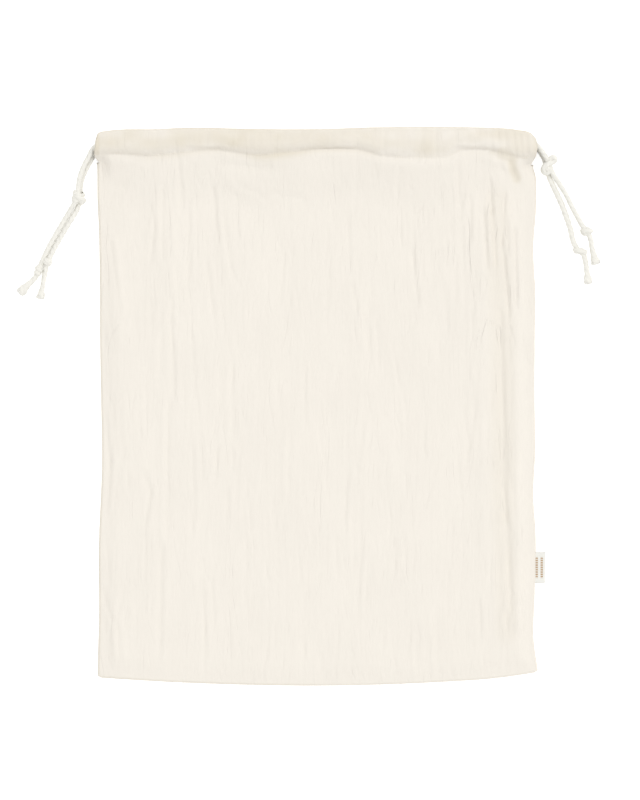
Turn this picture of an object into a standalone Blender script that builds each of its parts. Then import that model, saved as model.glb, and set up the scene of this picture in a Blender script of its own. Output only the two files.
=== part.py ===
"""A muslin drawstring bag, empty and lying flat on its back.

+X runs across the bag, +Y up it to the mouth, and +Z up from the surface that it lies on. A front panel and
a back panel are sewn together down the sides and along the bottom, and their edges turn towards each other
there. Each panel's top edge is turned in and stitched down as a casing. Two drawstrings run through both
casings, one from each side, and each has its two ends knotted together and then knotted singly. A folded
label is sewn into the right side seam.

The tables below are in millimetres, about the middle of the bag, and are scaled to metres as they are read.
"""

import math

import bmesh
import bpy
import numpy as np
from mathutils import Vector

MM = 0.001

# Cloth
CLOTH = 1.2  # thickness of the doubled gauze
BACK_HEIGHT = CLOTH / 2  # middle of the back panel, which lies on the surface
LOFT = 7.0  # middle of the front panel over the empty bag
EDGE_ROLL = 2.0  # radius of each panel's turn towards the seam, at the sides and at the bottom
ROLL_STEPS = 3  # faces round that turn
PANELS_APART = 0.9  # between the two panels' edges at the seam
EDGE_SLOPE = 16.0  # how far in from an edge the front panel reaches its full loft
THROAT = 50.0  # how far below the casing the front panel starts to rise to it
SEWN_FLAT = 6.0  # how far below the stitch line the folds run out
BAG_MIDDLE = -3.4  # X of the bag's middle, which puts the middle of bag and label over the origin

# Casing
MOUTH_GAP = 4.4  # between the front casing and the back casing
LAY = 0.4  # play between a drawstring and the casing
HEM_SHORT = 10.5  # how far short of the bag's side the turned-in edge stops, for the cord to turn round it
END_DROP = 2.0  # how much lower the front casing lies at its ends
DROP_FROM, DROP_TO = 120.0, 186.0  # where, out from the middle, the drop starts and ends
SIDE_OPEN_FROM = 0.985  # share of the height, up to the stitch line, at which the side seams stop

# Drawstrings
CORD = 4.6  # diameter
STRANDS = 3
ROPE_LAY = 17.0  # length in which a strand winds once round the cord
GROOVE = 0.3  # depth between two strands, as a share of the radius
CORD_SIDES = 3 * STRANDS
LANE_POINTS = 8  # of a cord's straight run in one casing
HELD_STEP = 3 * CORD  # between a cord's rings in the casing, where it is built round
FREE_STEP = 2.0  # between its rings outside, where its twist is raised
BIGHT_REACH = 4.8  # from the bag's side in to the middle of the cord where it turns back
LEAD = 7.0  # straight cord before a turn
BIGHT_ANGLES = (50, 17, -17, -50)  # of the turn's points, up and down from its middle, in degrees

# Label
LABEL_CLOTH = 1.0
LABEL_LAYERS_APART = 1.3  # between the middles of its two layers
LABEL_WIDTH = 8.7  # from the seam to the fold
LABEL_BOTTOM, LABEL_TOP = -160.3, -132.0
SEAM_GAP = 0.35  # between the label and the bag's side
LABEL_FALL = (-0.3, 1.1)  # shares of its width over which it comes down from the seam to the surface
LABEL_SECTION = (0, 0.35, 0.7, 0.93)  # shares of its width at which each layer has a row of points
LABEL_ROWS = 5
LABEL_CLEAR = 0.1  # under the label's fold

# Outline of the bag: (along the edge, out to the edge)
LEFT_EDGE = (
    (-246.5, -200.4), (-225, -200.0), (-199.5, -199.2), (-133, -199.4), (-51, -196.4), (6, -197.2),
    (82, -198.2), (188.6, -199.1), (222.3, -198.4), (236, -199.6), (250.2, -199.4),
)
RIGHT_EDGE = (
    (-241.5, 200.9), (-219.6, 196.6), (-167.6, 197.0), (-120, 199.0), (-80, 196.2), (6.4, 197.6),
    (143, 196.3), (192.2, 199.0), (222.3, 195.4), (236, 199.4), (245.5, 197.0),
)
BOTTOM_EDGE = (
    (-200.4, -246.5), (-146.2, -249.9), (-94.3, -252.2), (2.3, -253.9), (107, -250.8), (168, -246.4),
    (200.9, -241.5),
)
TOP_EDGE = (
    (-199.4, 250.2), (-183.6, 252.0), (-142.6, 252.8), (-122.5, 253.8), (-58.8, 252.8), (6.8, 252.8),
    (47.8, 254.2), (148, 254.2), (161.7, 253.8), (181.7, 252.0), (192.7, 248.7), (197, 245.5),
)
STITCH_LINE = (
    (-199, 229.5), (-188, 230.8), (-156, 228.0), (-135, 231.4), (-98, 232.8), (-59, 231.4), (-38, 230.1),
    (-9.6, 232.8), (27, 235.0), (52, 233.2), (74, 227.8), (122, 227.8), (139, 233.4), (157, 233.4),
    (171, 228.5), (184.5, 226.5), (199, 227.5),
)

# Section of a casing: (from the stitch line to the top, clear height inside)
CASING_SECTION = ((0.0, 0.4), (0.08, 4.4), (0.16, 5.4), (0.45, 5.8), (0.75, 5.4), (0.9, 4.8))
TURN_ANGLES = (45, 90, 135)  # of the fold at the casing's top, in degrees
# Extra height of the front casing: (across the bag, height)
CASING_SWELL = (
    (-199, 0.0), (-150, 0.7), (-105, 0.1), (-60, 0.9), (-20, 0.2), (35, 0.9), (90, 0.1), (135, 0.8),
    (165, 0.1), (199, 0.3),
)

# Steps of the cloth's grid: (from, to, steps)
COLUMNS = ((-199, -175, 4), (-175, -120, 5), (-120, 130, 11), (130, 190, 8), (190, 199, 1))
ROWS = ((0, 0.03, 2), (0.03, 0.84, 11), (0.84, SIDE_OPEN_FROM, 5), (SIDE_OPEN_FROM, 1, 1))

# Folds of the front panel: (from x, from y, to x, to y, half width, height), a trough where height is below 0
FOLDS = (
    (158, 196, 166, 60, 9, -0.7),  # the long fold down the right side, in three lengths
    (166, 60, 169, -70, 8, -0.8),
    (169, -70, 172, -205, 8, -0.7),
    (180, 165, 184, -195, 8, 2.6),  # the ridges on both sides of it
    (148, 165, 153, -140, 9, 1.8),
    (166, 224, 178, 219, 7, -1.8),  # the tuck under the right end of the casing
    (178, 219, 185, 203, 7, -2.6),
    (188, 214, 190, 180, 7, 2.2),
    (60, 219, 130, 221, 8, 1.4),  # the ridge under the casing
    (-90, 222, -40, 214, 8, -1.4),  # the creases across under the casing
    (-78, 205, -45, 190, 9, 1.4),
    (-186, 203, -172, 198, 8, -1.2),
    (-190, 150, -178, 60, 7, 1.8),  # the folds down the left side
    (-190, 5, -188, -90, 6, -1.1),
    (-160, -30, -150, -120, 10, 1.6),
    (-194, -168, -180, -225, 7, 1.8),
    (-138, 165, -132, 60, 9, 1.3),
    (-72, 80, -66, -50, 10, 1.4),
    (20, 140, 46, 20, 12, 1.2),
    (96, 150, 92, 40, 11, 1.2),
)

# Places of a cord in the casing: (across the bag, up the bag)
LOWER_LANE = ((-191, 238.6), (-100, 238.8), (27, 239.4), (150, 238.9), (192, 238.0))
UPPER_LANE = ((-192, 245.6), (-100, 246.4), (150, 246.6), (180, 244.8), (189, 243.4))

# Free ends of the drawstrings, from the casing to the tip: (x, y, z, thickness as a share of CORD)
LEFT_FRONT_END = (
    (-198.5, 238.2, 13.6, 1.0), (-204.0, 234.6, 10.8, 1.0), (-208.0, 227.6, 8.6, 1.0),
    (-212.6, 219.0, 7.4, 1.0), (-216.4, 208.0, 7.3, 1.0), (-217.6, 198.5, 7.6, 1.0),
    (-218.6, 189.5, 7.2, 1.0), (-223.4, 181.6, 4.6, 1.0), (-228.2, 173.8, 2.7, 1.0),
    (-237.8, 157.6, 2.7, 1.0), (-247.2, 140.2, 2.7, 1.0), (-251.0, 131.6, 3.4, 1.0),
    (-254.4, 124.4, 4.1, 1.0), (-257.8, 119.0, 3.2, 1.0), (-262.6, 112.8, 2.7, 1.0),
    (-265.6, 109.4, 3.2, 1.3), (-268.4, 106.2, 3.8, 1.6),
)
LEFT_BACK_END = (
    (-197.5, 237.4, 3.9, 1.0), (-202.2, 233.0, 3.7, 1.0), (-205.4, 226.6, 2.8, 1.0),
    (-210.0, 217.6, 2.7, 1.0), (-214.2, 208.0, 2.7, 1.0), (-216.0, 198.5, 2.7, 1.0),
    (-216.6, 189.5, 2.7, 1.0), (-218.4, 180.6, 2.7, 1.0), (-222.8, 172.4, 2.7, 1.0),
    (-231.9, 157.0, 2.7, 1.0), (-240.6, 141.8, 2.7, 1.0), (-243.6, 136.0, 3.2, 1.0),
    (-245.4, 131.4, 4.1, 1.0), (-247.0, 126.0, 3.4, 1.0), (-247.4, 119.0, 2.7, 1.0),
    (-248.4, 109.0, 2.7, 1.0), (-249.6, 102.5, 3.0, 1.2), (-250.2, 98.0, 3.4, 1.4),
)
RIGHT_FRONT_END = (
    (195.5, 242.4, 14.3, 1.0), (201.4, 239.0, 12.6, 1.0), (205.4, 232.6, 10.4, 1.0),
    (209.2, 226.4, 8.6, 1.0), (212.0, 219.0, 7.6, 1.0), (214.6, 212.0, 6.0, 1.0),
    (219.4, 204.6, 3.2, 1.0), (225.9, 194.3, 2.7, 1.0), (231.2, 183.4, 2.7, 1.0),
    (237.1, 172.5, 2.7, 1.0), (241.2, 165.2, 3.2, 1.0), (245.1, 160.0, 4.2, 1.0),
    (248.4, 153.6, 3.2, 1.0), (250.2, 144.0, 2.7, 1.0), (251.8, 137.4, 3.0, 1.2),
    (253.4, 131.4, 3.9, 1.65),
)
RIGHT_BACK_END = (
    (195.0, 242.4, 3.9, 1.0), (201.0, 239.2, 3.8, 1.0), (205.0, 232.0, 2.9, 1.0),
    (207.8, 223.8, 2.7, 1.0), (209.4, 216.4, 2.7, 1.0), (211.4, 208.6, 2.7, 1.0),
    (216.6, 197.0, 2.7, 1.0), (221.6, 186.2, 2.7, 1.0), (226.2, 174.4, 2.7, 1.0),
    (230.4, 161.6, 2.7, 1.0), (233.6, 149.0, 2.9, 1.0), (237.6, 142.8, 3.4, 1.0),
    (241.6, 139.6, 3.2, 1.0), (243.8, 133.2, 2.7, 1.0), (245.2, 124.0, 2.7, 1.0),
    (246.2, 117.0, 2.7, 1.1), (246.8, 112.4, 2.9, 1.2),
)
# Knots: (x, y, z, length along the cord, width, height, turn of the cord's line from +X in degrees)
LEFT_KNOTS = (
    (-217.2, 190.0, 5.35, 15.0, 13.6, 10.5, -104),
    (-254.4, 124.6, 4.25, 9.8, 8.8, 8.3, -128),
    (-245.3, 131.2, 4.25, 9.6, 8.4, 8.3, -112),
)
RIGHT_KNOTS = (
    (214.0, 225.4, 7.2, 10.0, 9.4, 9.0, -62),
    (209.8, 216.2, 5.3, 11.0, 12.4, 10.4, -75),
    (245.1, 160.0, 4.25, 8.4, 11.0, 8.3, -65),
    (239.0, 142.0, 3.75, 6.8, 12.8, 7.3, -75),
)
KNOT_RIDGE = 0.1  # height of a knot's wound turns, as a share of its radius
KNOT_TWIST = 3.6  # how far the wound turns run round the knot, in radians from its middle to its end
KNOT_AROUND, KNOT_ALONG = 14, 9  # sides of a knot's form, and its rows

# Materials: (red, green, blue, roughness)
CLOTH_COLOUR = (0.86, 0.80, 0.69, 0.95)
CORD_COLOUR = (0.88, 0.84, 0.75, 0.9)
LABEL_COLOUR = (0.87, 0.82, 0.72, 0.7)


def smooth_through(stations, values, places):
    """The values at the places on the smooth curve that passes through the values at the stations."""
    stations, values = np.array(stations, float), np.array(values, float)
    if values.ndim == 1:
        return smooth_through(stations, values[:, None], places)[..., 0]
    gaps = np.diff(stations)[:, None]
    slopes = np.diff(values, axis=0) / gaps
    inner = (slopes[:-1] * gaps[1:] + slopes[1:] * gaps[:-1]) / (gaps[:-1] + gaps[1:])
    tangents = np.concatenate([slopes[:1], inner, slopes[-1:]])
    places = np.clip(np.asarray(places, float), stations[0], stations[-1])
    i = np.clip(np.searchsorted(stations, places, side="right") - 1, 0, len(gaps) - 1)
    t = ((places - stations[i]) / gaps[i, 0])[..., None]
    return (
        values[i] * (1 + 2 * t) * (1 - t) ** 2
        + values[i + 1] * t**2 * (3 - 2 * t)
        + gaps[i] * (tangents[i] * t * (1 - t) ** 2 - tangents[i + 1] * t**2 * (1 - t))
    )


def along(table, places):
    """The second column of a table at the places along its first."""
    columns = np.array(table, float)
    return smooth_through(columns[:, 0], columns[:, 1], places)


def soft_step(values, start, end):
    """From 0 at start to 1 at end, level at both."""
    t = np.clip((values - start) / (end - start), 0, 1)
    return t * t * (3 - 2 * t)


def stations_of(zones):
    """The places of a grid's lines, from zones of (from, to, steps)."""
    places = [zones[0][0]]
    for start, end, steps in zones:
        places += [start + (end - start) * (i + 1) / steps for i in range(steps)]
    return np.array(places, float)


def hem_height(x):
    """Middle of the front casing's turned-in layer."""
    clear = max(height for _, height in CASING_SECTION)
    back_casing_top = 2 * CLOTH + clear
    level = back_casing_top + MOUTH_GAP + CLOTH / 2
    return level - END_DROP * soft_step(np.abs(x), DROP_FROM, DROP_TO)


def folds_height(x, y):
    """Height that the folds add to the front panel."""
    height = np.zeros_like(x)
    for from_x, from_y, to_x, to_y, half_width, peak in FOLDS:
        run_x, run_y = to_x - from_x, to_y - from_y
        share = np.clip(((x - from_x) * run_x + (y - from_y) * run_y) / (run_x**2 + run_y**2), 0, 1)
        away = np.hypot(x - from_x - share * run_x, y - from_y - share * run_y)
        height += peak * np.exp(-((away / half_width) ** 2))
    return height


def side_points(share, to_top):
    """X of the bag's left and right edge, at a share of the way up to the stitch line, or from there up."""
    low, high = (STITCH_LINE, TOP_EDGE) if to_top else (BOTTOM_EDGE, STITCH_LINE)
    edges = []
    for table, x in ((LEFT_EDGE, -199), (RIGHT_EDGE, 199)):
        y = along(low, x) * (1 - share) + along(high, x) * share
        edges.append(float(along(table, y)))
    return edges


def body_row(share, columns):
    """Plan of one row of the body: its X and Y."""
    left, right = side_points(share, False)
    inset = (EDGE_ROLL + CLOTH / 2) * (1 - soft_step(share, SIDE_OPEN_FROM, 1))
    x = left + inset + (right - left - 2 * inset) * columns
    bottom = along(BOTTOM_EDGE, x) + EDGE_ROLL + CLOTH / 2
    return x, bottom * (1 - share) + along(STITCH_LINE, x) * share


def front_height(x, y, share):
    """Middle of the front panel over one row of the body."""
    edge = BACK_HEIGHT + 2 * EDGE_ROLL
    stitch = along(STITCH_LINE, x)
    sewn = hem_height(x) + CLOTH + CASING_SECTION[0][1]
    full = LOFT + (sewn - LOFT) * soft_step(y, stitch - THROAT, stitch)
    full += folds_height(x, y) * (1 - soft_step(y, stitch - SEWN_FLAT, stitch))
    in_from_edge = np.minimum(np.minimum(x - x[0], x[-1] - x), y - along(BOTTOM_EDGE, x) - EDGE_ROLL)
    held_up = np.maximum(soft_step(in_from_edge, 0, EDGE_SLOPE), soft_step(share, SIDE_OPEN_FROM, 1))
    return edge + (full - edge) * held_up


def casing_rows():
    """Rows of a casing, from the stitch line over the top and down inside.

    A row is (share, outer, lift, inset): share is of the height, outer is 1 on the panel and 0 on the
    turned-in layer, lift is how far apart the two are, and inset is how far short of the bag's side it stops.
    """
    lifts = [(share, clear + CLOTH) for share, clear in CASING_SECTION]
    rows = [(share, 1.0, lift, 0.0) for share, lift in lifts[1:]]
    last, lift = lifts[-1]
    for angle in (math.radians(a) for a in TURN_ANGLES):
        outer = (1 + math.cos(angle)) / 2
        rows.append((last + (1 - last) * math.sin(angle), outer, lift, HEM_SHORT * (1 - outer)))
    return rows + [(share, 0.0, lift, HEM_SHORT) for share, lift in reversed(lifts)]


def casing_row(share, inset, columns):
    """Plan of one row of a casing: its X and Y."""
    left, right = side_points(share, True)
    x = left + inset + (right - left - 2 * inset) * columns
    top = along(TOP_EDGE, x) - CLOTH / 2
    return x, along(STITCH_LINE, x) * (1 - share) + top * share


def panel_points(front):
    """Rows of points of the front or back panel, from its bottom edge to its turned-in top edge."""
    columns = stations_of(COLUMNS)
    columns = (columns - columns[0]) / (columns[-1] - columns[0])
    rows = []
    for share in stations_of(ROWS):
        x, y = body_row(share, columns)
        z = front_height(x, y, share) if front else np.full_like(x, BACK_HEIGHT)
        rows.append(np.stack([x, y, z], axis=1))
    for share, outer, lift, inset in casing_rows():
        x, y = casing_row(share, inset, columns)
        if front:
            z = hem_height(x) + outer * (lift + along(CASING_SWELL, x) * math.sin(math.pi * min(1, share)))
        else:
            z = np.full_like(x, BACK_HEIGHT + (1 - outer) * lift)
        rows.append(np.stack([x, y, z], axis=1))
    return rows


def add_panel(mesh, rows):
    """Adds a grid with these rows of points, and returns its vertices by row."""
    made = bmesh.ops.create_grid(mesh, x_segments=len(rows[0]) - 1, y_segments=len(rows) - 1, size=1.0)
    vertices = sorted(made["verts"], key=lambda v: (round(v.co.y, 5), round(v.co.x, 5)))
    by_row = [vertices[i * len(rows[0]) : (i + 1) * len(rows[0])] for i in range(len(rows))]
    for row, points in zip(by_row, rows):
        for vertex, point in zip(row, points):
            vertex.co = placed(point)
    return by_row


def placed(point):
    """A point of the tables in metres, in the part's frame."""
    return Vector((point[0] + BAG_MIDDLE, point[1], point[2])) * MM


def sewn_edge(panel):
    """A panel's edge that is sewn to the other panel: down the left, along the bottom and up the right."""
    seam = int(np.argmin(np.abs(stations_of(ROWS) - SIDE_OPEN_FROM)))
    left = [panel[i][0] for i in range(seam, 0, -1)]
    right = [panel[i][-1] for i in range(1, seam + 1)]
    return left + panel[0] + right


def turn_to_seam(mesh, edge, toward):
    """Turns a panel's sewn edge down (-1) or up (1) towards the other panel, as far as the seam."""
    outward = []
    for before, after in zip([edge[0], *edge[:-1]], [*edge[1:], edge[-1]]):
        run = after.co - before.co
        outward.append(Vector((run.y, -run.x, 0)).normalized())
    height = EDGE_ROLL - PANELS_APART / 2
    inner = edge
    for step in range(1, ROLL_STEPS + 1):
        angle = math.pi / 2 * step / ROLL_STEPS
        rise = Vector((0, 0, toward * height * (1 - math.cos(angle))))
        shifts = [(out * EDGE_ROLL * math.sin(angle) + rise) * MM for out in outward]
        strip = [mesh.verts.new(vertex.co + shift) for vertex, shift in zip(edge, shifts)]
        for i in range(len(edge) - 1):
            mesh.faces.new((inner[i], inner[i + 1], strip[i + 1], strip[i]))
        inner = strip


def finish(mesh, name, collection, colour):
    """Makes an object of a bmesh, with its own material."""
    bmesh.ops.recalc_face_normals(mesh, faces=mesh.faces)
    data = bpy.data.meshes.new(name)
    mesh.to_mesh(data)
    mesh.free()
    data.shade_smooth()
    part = bpy.data.objects.new(name, data)
    collection.objects.link(part)
    if colour:
        data.materials.append(material(name, colour))
    return part


def material(name, colour):
    made = bpy.data.materials.new(name)
    made.use_nodes = True
    shader = made.node_tree.nodes["Principled BSDF"]
    shader.inputs["Base Color"].default_value = (*colour[:3], 1)
    shader.inputs["Roughness"].default_value = colour[3]
    shader.inputs["Metallic"].default_value = 0
    return made


def thicken(part, thickness):
    solid = part.modifiers.new("Thickness", "SOLIDIFY")
    solid.thickness = thickness * MM
    solid.offset = 0
    solid.use_even_offset = True


def make_panel(name, collection, front):
    mesh = bmesh.new()
    panel = add_panel(mesh, panel_points(front))
    turn_to_seam(mesh, sewn_edge(panel), -1 if front else 1)
    thicken(finish(mesh, name, collection, CLOTH_COLOUR), CLOTH)


def make_label(collection):
    """A ribbon folded in two, with both ends sewn into the right side seam."""
    half = LABEL_LAYERS_APART / 2
    seam_height = BACK_HEIGHT + EDGE_ROLL
    rest_height = LABEL_CLOTH / 2 + half + LABEL_CLEAR
    section = [(share, 1.0) for share in LABEL_SECTION]
    section += [(1.0, 0.0)] + [(share, -1.0) for share, _ in reversed(section)]
    rows = []
    for y in np.linspace(LABEL_BOTTOM, LABEL_TOP, LABEL_ROWS):
        seam = float(along(RIGHT_EDGE, y)) + SEAM_GAP
        reach = LABEL_WIDTH - LABEL_CLOTH / 2
        drop = [(share, side, float(soft_step(share, *LABEL_FALL))) for share, side in section]
        rows.append([
            (seam + share * reach, y, seam_height + (rest_height - seam_height) * low + side * half)
            for share, side, low in drop
        ])
    mesh = bmesh.new()
    add_panel(mesh, rows)
    thicken(finish(mesh, "side_label", collection, LABEL_COLOUR), LABEL_CLOTH)


def held_run(lane, side):
    """A cord's route in the casings: in at the front on its side (-1 or 1), round the far end and back."""
    front_z = CLOTH / 2 + LAY + CORD / 2
    back_z = BACK_HEIGHT + CLOTH / 2 + LAY + CORD / 2
    near, far = (lane[0][0], lane[-1][0]) if side < 0 else (lane[-1][0], lane[0][0])
    lane_y = float(along(lane, far))
    edge = float(along(LEFT_EDGE if side > 0 else RIGHT_EDGE, lane_y))
    radius = (float(hem_height(far)) + front_z - back_z) / 2
    turn_x = edge + side * (BIGHT_REACH + radius)
    straight = np.linspace(near - side * LEAD, turn_x + side * 2 * LEAD, LANE_POINTS)
    across = [near, *straight, turn_x + side * LEAD, turn_x]
    front = [(x, float(along(lane, x)), float(hem_height(x)) + front_z) for x in across]
    back = [(x, y, back_z) for x, y, _ in reversed(front)]
    bight = [
        (turn_x - side * radius * math.cos(a), lane_y, back_z + radius * (1 + math.sin(a)))
        for a in map(math.radians, BIGHT_ANGLES)
    ]
    return [(*p, 1.0) for p in front + bight + back]


def cord_points(front_end, lane, side, back_end):
    """Points of a whole drawstring from the tip of its front end to the tip of its back end.

    A point is (x, y, z, thickness, twist), and its twist is 0 where the cord is built round.
    """
    held = [(*point, 0.0) for point in held_run(lane, side)]
    front, back = ([(*point, 1.0) for point in end] for end in (front_end, back_end))
    route = np.array([*reversed(front), *held, *back])
    held_from, held_to = len(front), len(front) + len(held) - 1
    spans = np.linalg.norm(np.diff(route[:, :3], axis=0), axis=1)
    stations = np.concatenate([[0], np.cumsum(spans)])
    places = [0.0]
    for i, span in enumerate(spans):
        step = HELD_STEP if held_from <= i < held_to else FREE_STEP
        count = max(1, round(span / step))
        places += [stations[i] + span * (k + 1) / count for k in range(count)]
    return smooth_through(stations, route, np.array(places))


def directions_across(line):
    """For each point of a line, two directions across it that don't turn round it."""
    ahead = np.gradient(line, axis=0)
    ahead /= np.linalg.norm(ahead, axis=1)[:, None]
    side = np.cross(ahead[0], (0, 0, 1))
    sides = []
    for direction in ahead:
        side = side - direction * np.dot(side, direction)
        side = side / np.linalg.norm(side)
        sides.append(side)
    return np.array(sides), np.cross(sides, ahead)


def cord_rings(points):
    """Rings of points round a cord, with the grooves between its strands winding along it."""
    line, thickness, twist = points[:, :3], points[:, 3], np.clip(points[:, 4], 0, 1)
    sides, ups = directions_across(line)
    lengths = np.linalg.norm(np.diff(line, axis=0, prepend=line[:1]), axis=1)
    turned = np.cumsum(2 * math.pi * lengths * twist / ROPE_LAY)
    rings = []
    for k in range(CORD_SIDES):
        angle = (turned + 2 * math.pi * k / CORD_SIDES)[:, None]
        in_groove = GROOVE * twist if k % (CORD_SIDES // STRANDS) == 0 else 0
        radius = (CORD / 2 * thickness * (1 - in_groove))[:, None]
        rings.append(line + radius * (np.cos(angle) * sides + np.sin(angle) * ups))
    return np.stack(rings, axis=1)


def make_cord(name, collection, guides, points, knots):
    """A drawstring as one solid: a twisted cord along its points, joined with its knots."""
    mesh = bmesh.new()
    rings = [[mesh.verts.new(placed(point)) for point in ring] for ring in cord_rings(points)]
    for ring, following in zip(rings, rings[1:]):
        for k in range(CORD_SIDES):
            mesh.faces.new((ring[k - 1], ring[k], following[k], following[k - 1]))
    for ring in (rings[0], rings[-1]):
        mesh.faces.new(ring)
    cord = finish(mesh, name, collection, CORD_COLOUR)
    for number, knot in enumerate(knots):
        join = cord.modifiers.new(f"Knot {number}", "BOOLEAN")
        join.operation = "UNION"
        join.solver = "EXACT"
        join.object = make_knot(f"{name}_knot_{number}", guides, knot)


def make_knot(name, guides, knot):
    """A knot's outer form: a ball drawn out along the cord, with the cord's wound turns raised on it."""
    x, y, z, length, width, height, turn = knot
    mesh = bmesh.new()
    bmesh.ops.create_uvsphere(mesh, u_segments=KNOT_AROUND, v_segments=KNOT_ALONG, radius=1.0)
    for vertex in mesh.verts:
        around = math.atan2(vertex.co.y, vertex.co.x)
        wound = math.cos(2 * around - KNOT_TWIST * vertex.co.z) * (1 - vertex.co.z**2)
        across = 1 - KNOT_RIDGE * (1 - wound)
        local = Vector((vertex.co.z, vertex.co.x * across, vertex.co.y * across)) / 2
        local = Vector((local.x * length, local.y * width, local.z * height))
        angle = math.radians(turn)
        turned = Vector((
            local.x * math.cos(angle) - local.y * math.sin(angle),
            local.x * math.sin(angle) + local.y * math.cos(angle),
            local.z,
        ))
        vertex.co = placed(Vector((x, y, z)) + turned)
    guide = finish(mesh, name, guides, None)
    guide.hide_render = True
    guide.display_type = "WIRE"
    return guide


def main():
    for old in list(bpy.data.objects):
        bpy.data.objects.remove(old)
    parts = bpy.data.collections.new("muslin_drawstring_bag")
    guides = bpy.data.collections.new("knot_forms")
    for collection in (parts, guides):
        bpy.context.scene.collection.children.link(collection)
    make_panel("front_panel", parts, True)
    make_panel("back_panel", parts, False)
    make_label(parts)
    left = cord_points(LEFT_FRONT_END, LOWER_LANE, -1, LEFT_BACK_END)
    make_cord("drawstring_left", parts, guides, left, LEFT_KNOTS)
    right = cord_points(RIGHT_FRONT_END, UPPER_LANE, 1, RIGHT_BACK_END)
    make_cord("drawstring_right", parts, guides, right, RIGHT_KNOTS)


main()
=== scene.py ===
"""A muslin drawstring bag, lying flat on its back on a pale studio floor.

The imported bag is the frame. Each of its solids is dressed with a finer piece here: two panels of crinkled
muslin, two twisted cotton drawstrings with their knots and frayed tips, the sewing of the casings, and the
folded ribbon in the side seam. Lengths in the tables are in millimetres about the middle of the bag.
"""

import math

import bmesh
import bpy
import numpy as np
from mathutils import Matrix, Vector


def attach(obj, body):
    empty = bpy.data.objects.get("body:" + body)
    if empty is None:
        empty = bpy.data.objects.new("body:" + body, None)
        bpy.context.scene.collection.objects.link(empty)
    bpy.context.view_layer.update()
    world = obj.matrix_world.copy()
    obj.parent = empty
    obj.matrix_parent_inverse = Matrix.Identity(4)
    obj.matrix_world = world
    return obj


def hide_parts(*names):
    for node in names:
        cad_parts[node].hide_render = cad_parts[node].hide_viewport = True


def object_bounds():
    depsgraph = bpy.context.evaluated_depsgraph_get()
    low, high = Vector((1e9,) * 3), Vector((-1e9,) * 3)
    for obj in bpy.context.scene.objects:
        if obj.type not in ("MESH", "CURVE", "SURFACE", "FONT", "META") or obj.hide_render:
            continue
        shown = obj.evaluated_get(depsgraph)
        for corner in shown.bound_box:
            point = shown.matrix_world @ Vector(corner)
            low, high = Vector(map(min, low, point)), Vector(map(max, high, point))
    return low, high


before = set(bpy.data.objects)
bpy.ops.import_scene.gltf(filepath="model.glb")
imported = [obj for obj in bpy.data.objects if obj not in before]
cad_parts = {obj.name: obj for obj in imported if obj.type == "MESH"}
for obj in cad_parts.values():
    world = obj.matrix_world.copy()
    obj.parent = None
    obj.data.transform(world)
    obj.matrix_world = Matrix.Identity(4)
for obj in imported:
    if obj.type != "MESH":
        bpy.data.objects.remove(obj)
CAD_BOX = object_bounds()

bl_info = {
    "name": "Muslin drawstring bag",
    "version": (1, 0, 0),
    "blender": (4, 5, 0),
    "location": "3D View > Sidebar > Muslin bag",
    "description": "Cuts, crinkles and sews a muslin bag and ties its two drawstrings",
    "category": "Object",
}

MM = 0.001
BAG_MIDDLE = -3.4  # X of the bag's middle
SIDE = 199.0  # from there to a side seam

# Panels, as they are cut and laid
PANEL_CLOTH = 1.2  # room that a panel takes
BACK_HEIGHT = PANEL_CLOTH / 2
LOFT = 7.0  # middle of the front panel over the empty bag
EDGE_ROLL = 2.0  # radius of each panel's turn towards the seam
SEAM_PLAY = 0.08  # how far short of the seam each turn stops
EDGE_SLOPE = 16.0  # how far in from the seam the front panel comes up to its loft
CORNER_SLOPE = 22.0  # how much wider that slope grows beside the casing
CORNER_SLOPE_SHARES = (0.78, 0.96)  # shares of the height between which it does
# Share of the height at which the corners begin to rise to the mouth, and how near the seam
MOUTH_RISE_FROM, MOUTH_RISE_EDGE = 0.9, 13.0
THROAT = 50.0  # how far below the casing the front panel starts to rise to it
SEWN_FLAT = 6.0  # how far below its stitches the folds begin
MOUTH_GAP = 4.4  # between the two casings
LAY = 0.4  # play between a drawstring and the casing
HEM_SHORT = 10.5  # how far short of the bag's side the turned-in edge stops
END_DROP = 2.0  # how much lower the front casing lies at its ends
DROP_FROM, DROP_TO = 120.0, 186.0  # where it comes down, from the middle
SIDE_OPEN_FROM = 0.985  # share of the height at which the side seams stop
FRONT_GRID, BACK_GRID = (286, 124), (190, 90)  # faces across a panel, and up it to its casing
CASING_STEPS, TURN_STEPS, ROLL_STEPS = 12, 7, 5  # rows up a casing, over its top, and round a sewn edge
ROWS_CLOSER, CASING_CLOSER = 1.12, 1.35  # how much closer the rows lie beside the stitches

# Drawstrings, as they run
CORD = 4.6
PRESSED, PRESSED_WITHIN = 0.9, 182.0  # share of its height that a cord keeps in the casing, and how far out
CLEAR_OF_CORD = 0.8  # from a cord's surface to the middle of the cloth over it
OFF_CORD = 0.6  # how steeply that cloth falls away beside a cord
LANE_POINTS = 8  # of its route across the front casing
BIGHT_REACH = 4.8  # how far out of the casings a cord turns back
LEAD = 7.0  # how straight it goes into each casing
BIGHT_ANGLES = (50, 17, -17, -50)  # of the points of that turn
RUN_STEP, END_STEP, PAIR_STEP = 1.3, 0.75, 0.5  # between rings in the casings, along a free end, in the knot
RUN_SIDES, END_SIDES, PAIR_SIDES = 15, 24, 18  # points round each of those
STRANDS, STRAND_ROUND = 3, 1.4  # strands of a cord, and how full each is between the grooves

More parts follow.
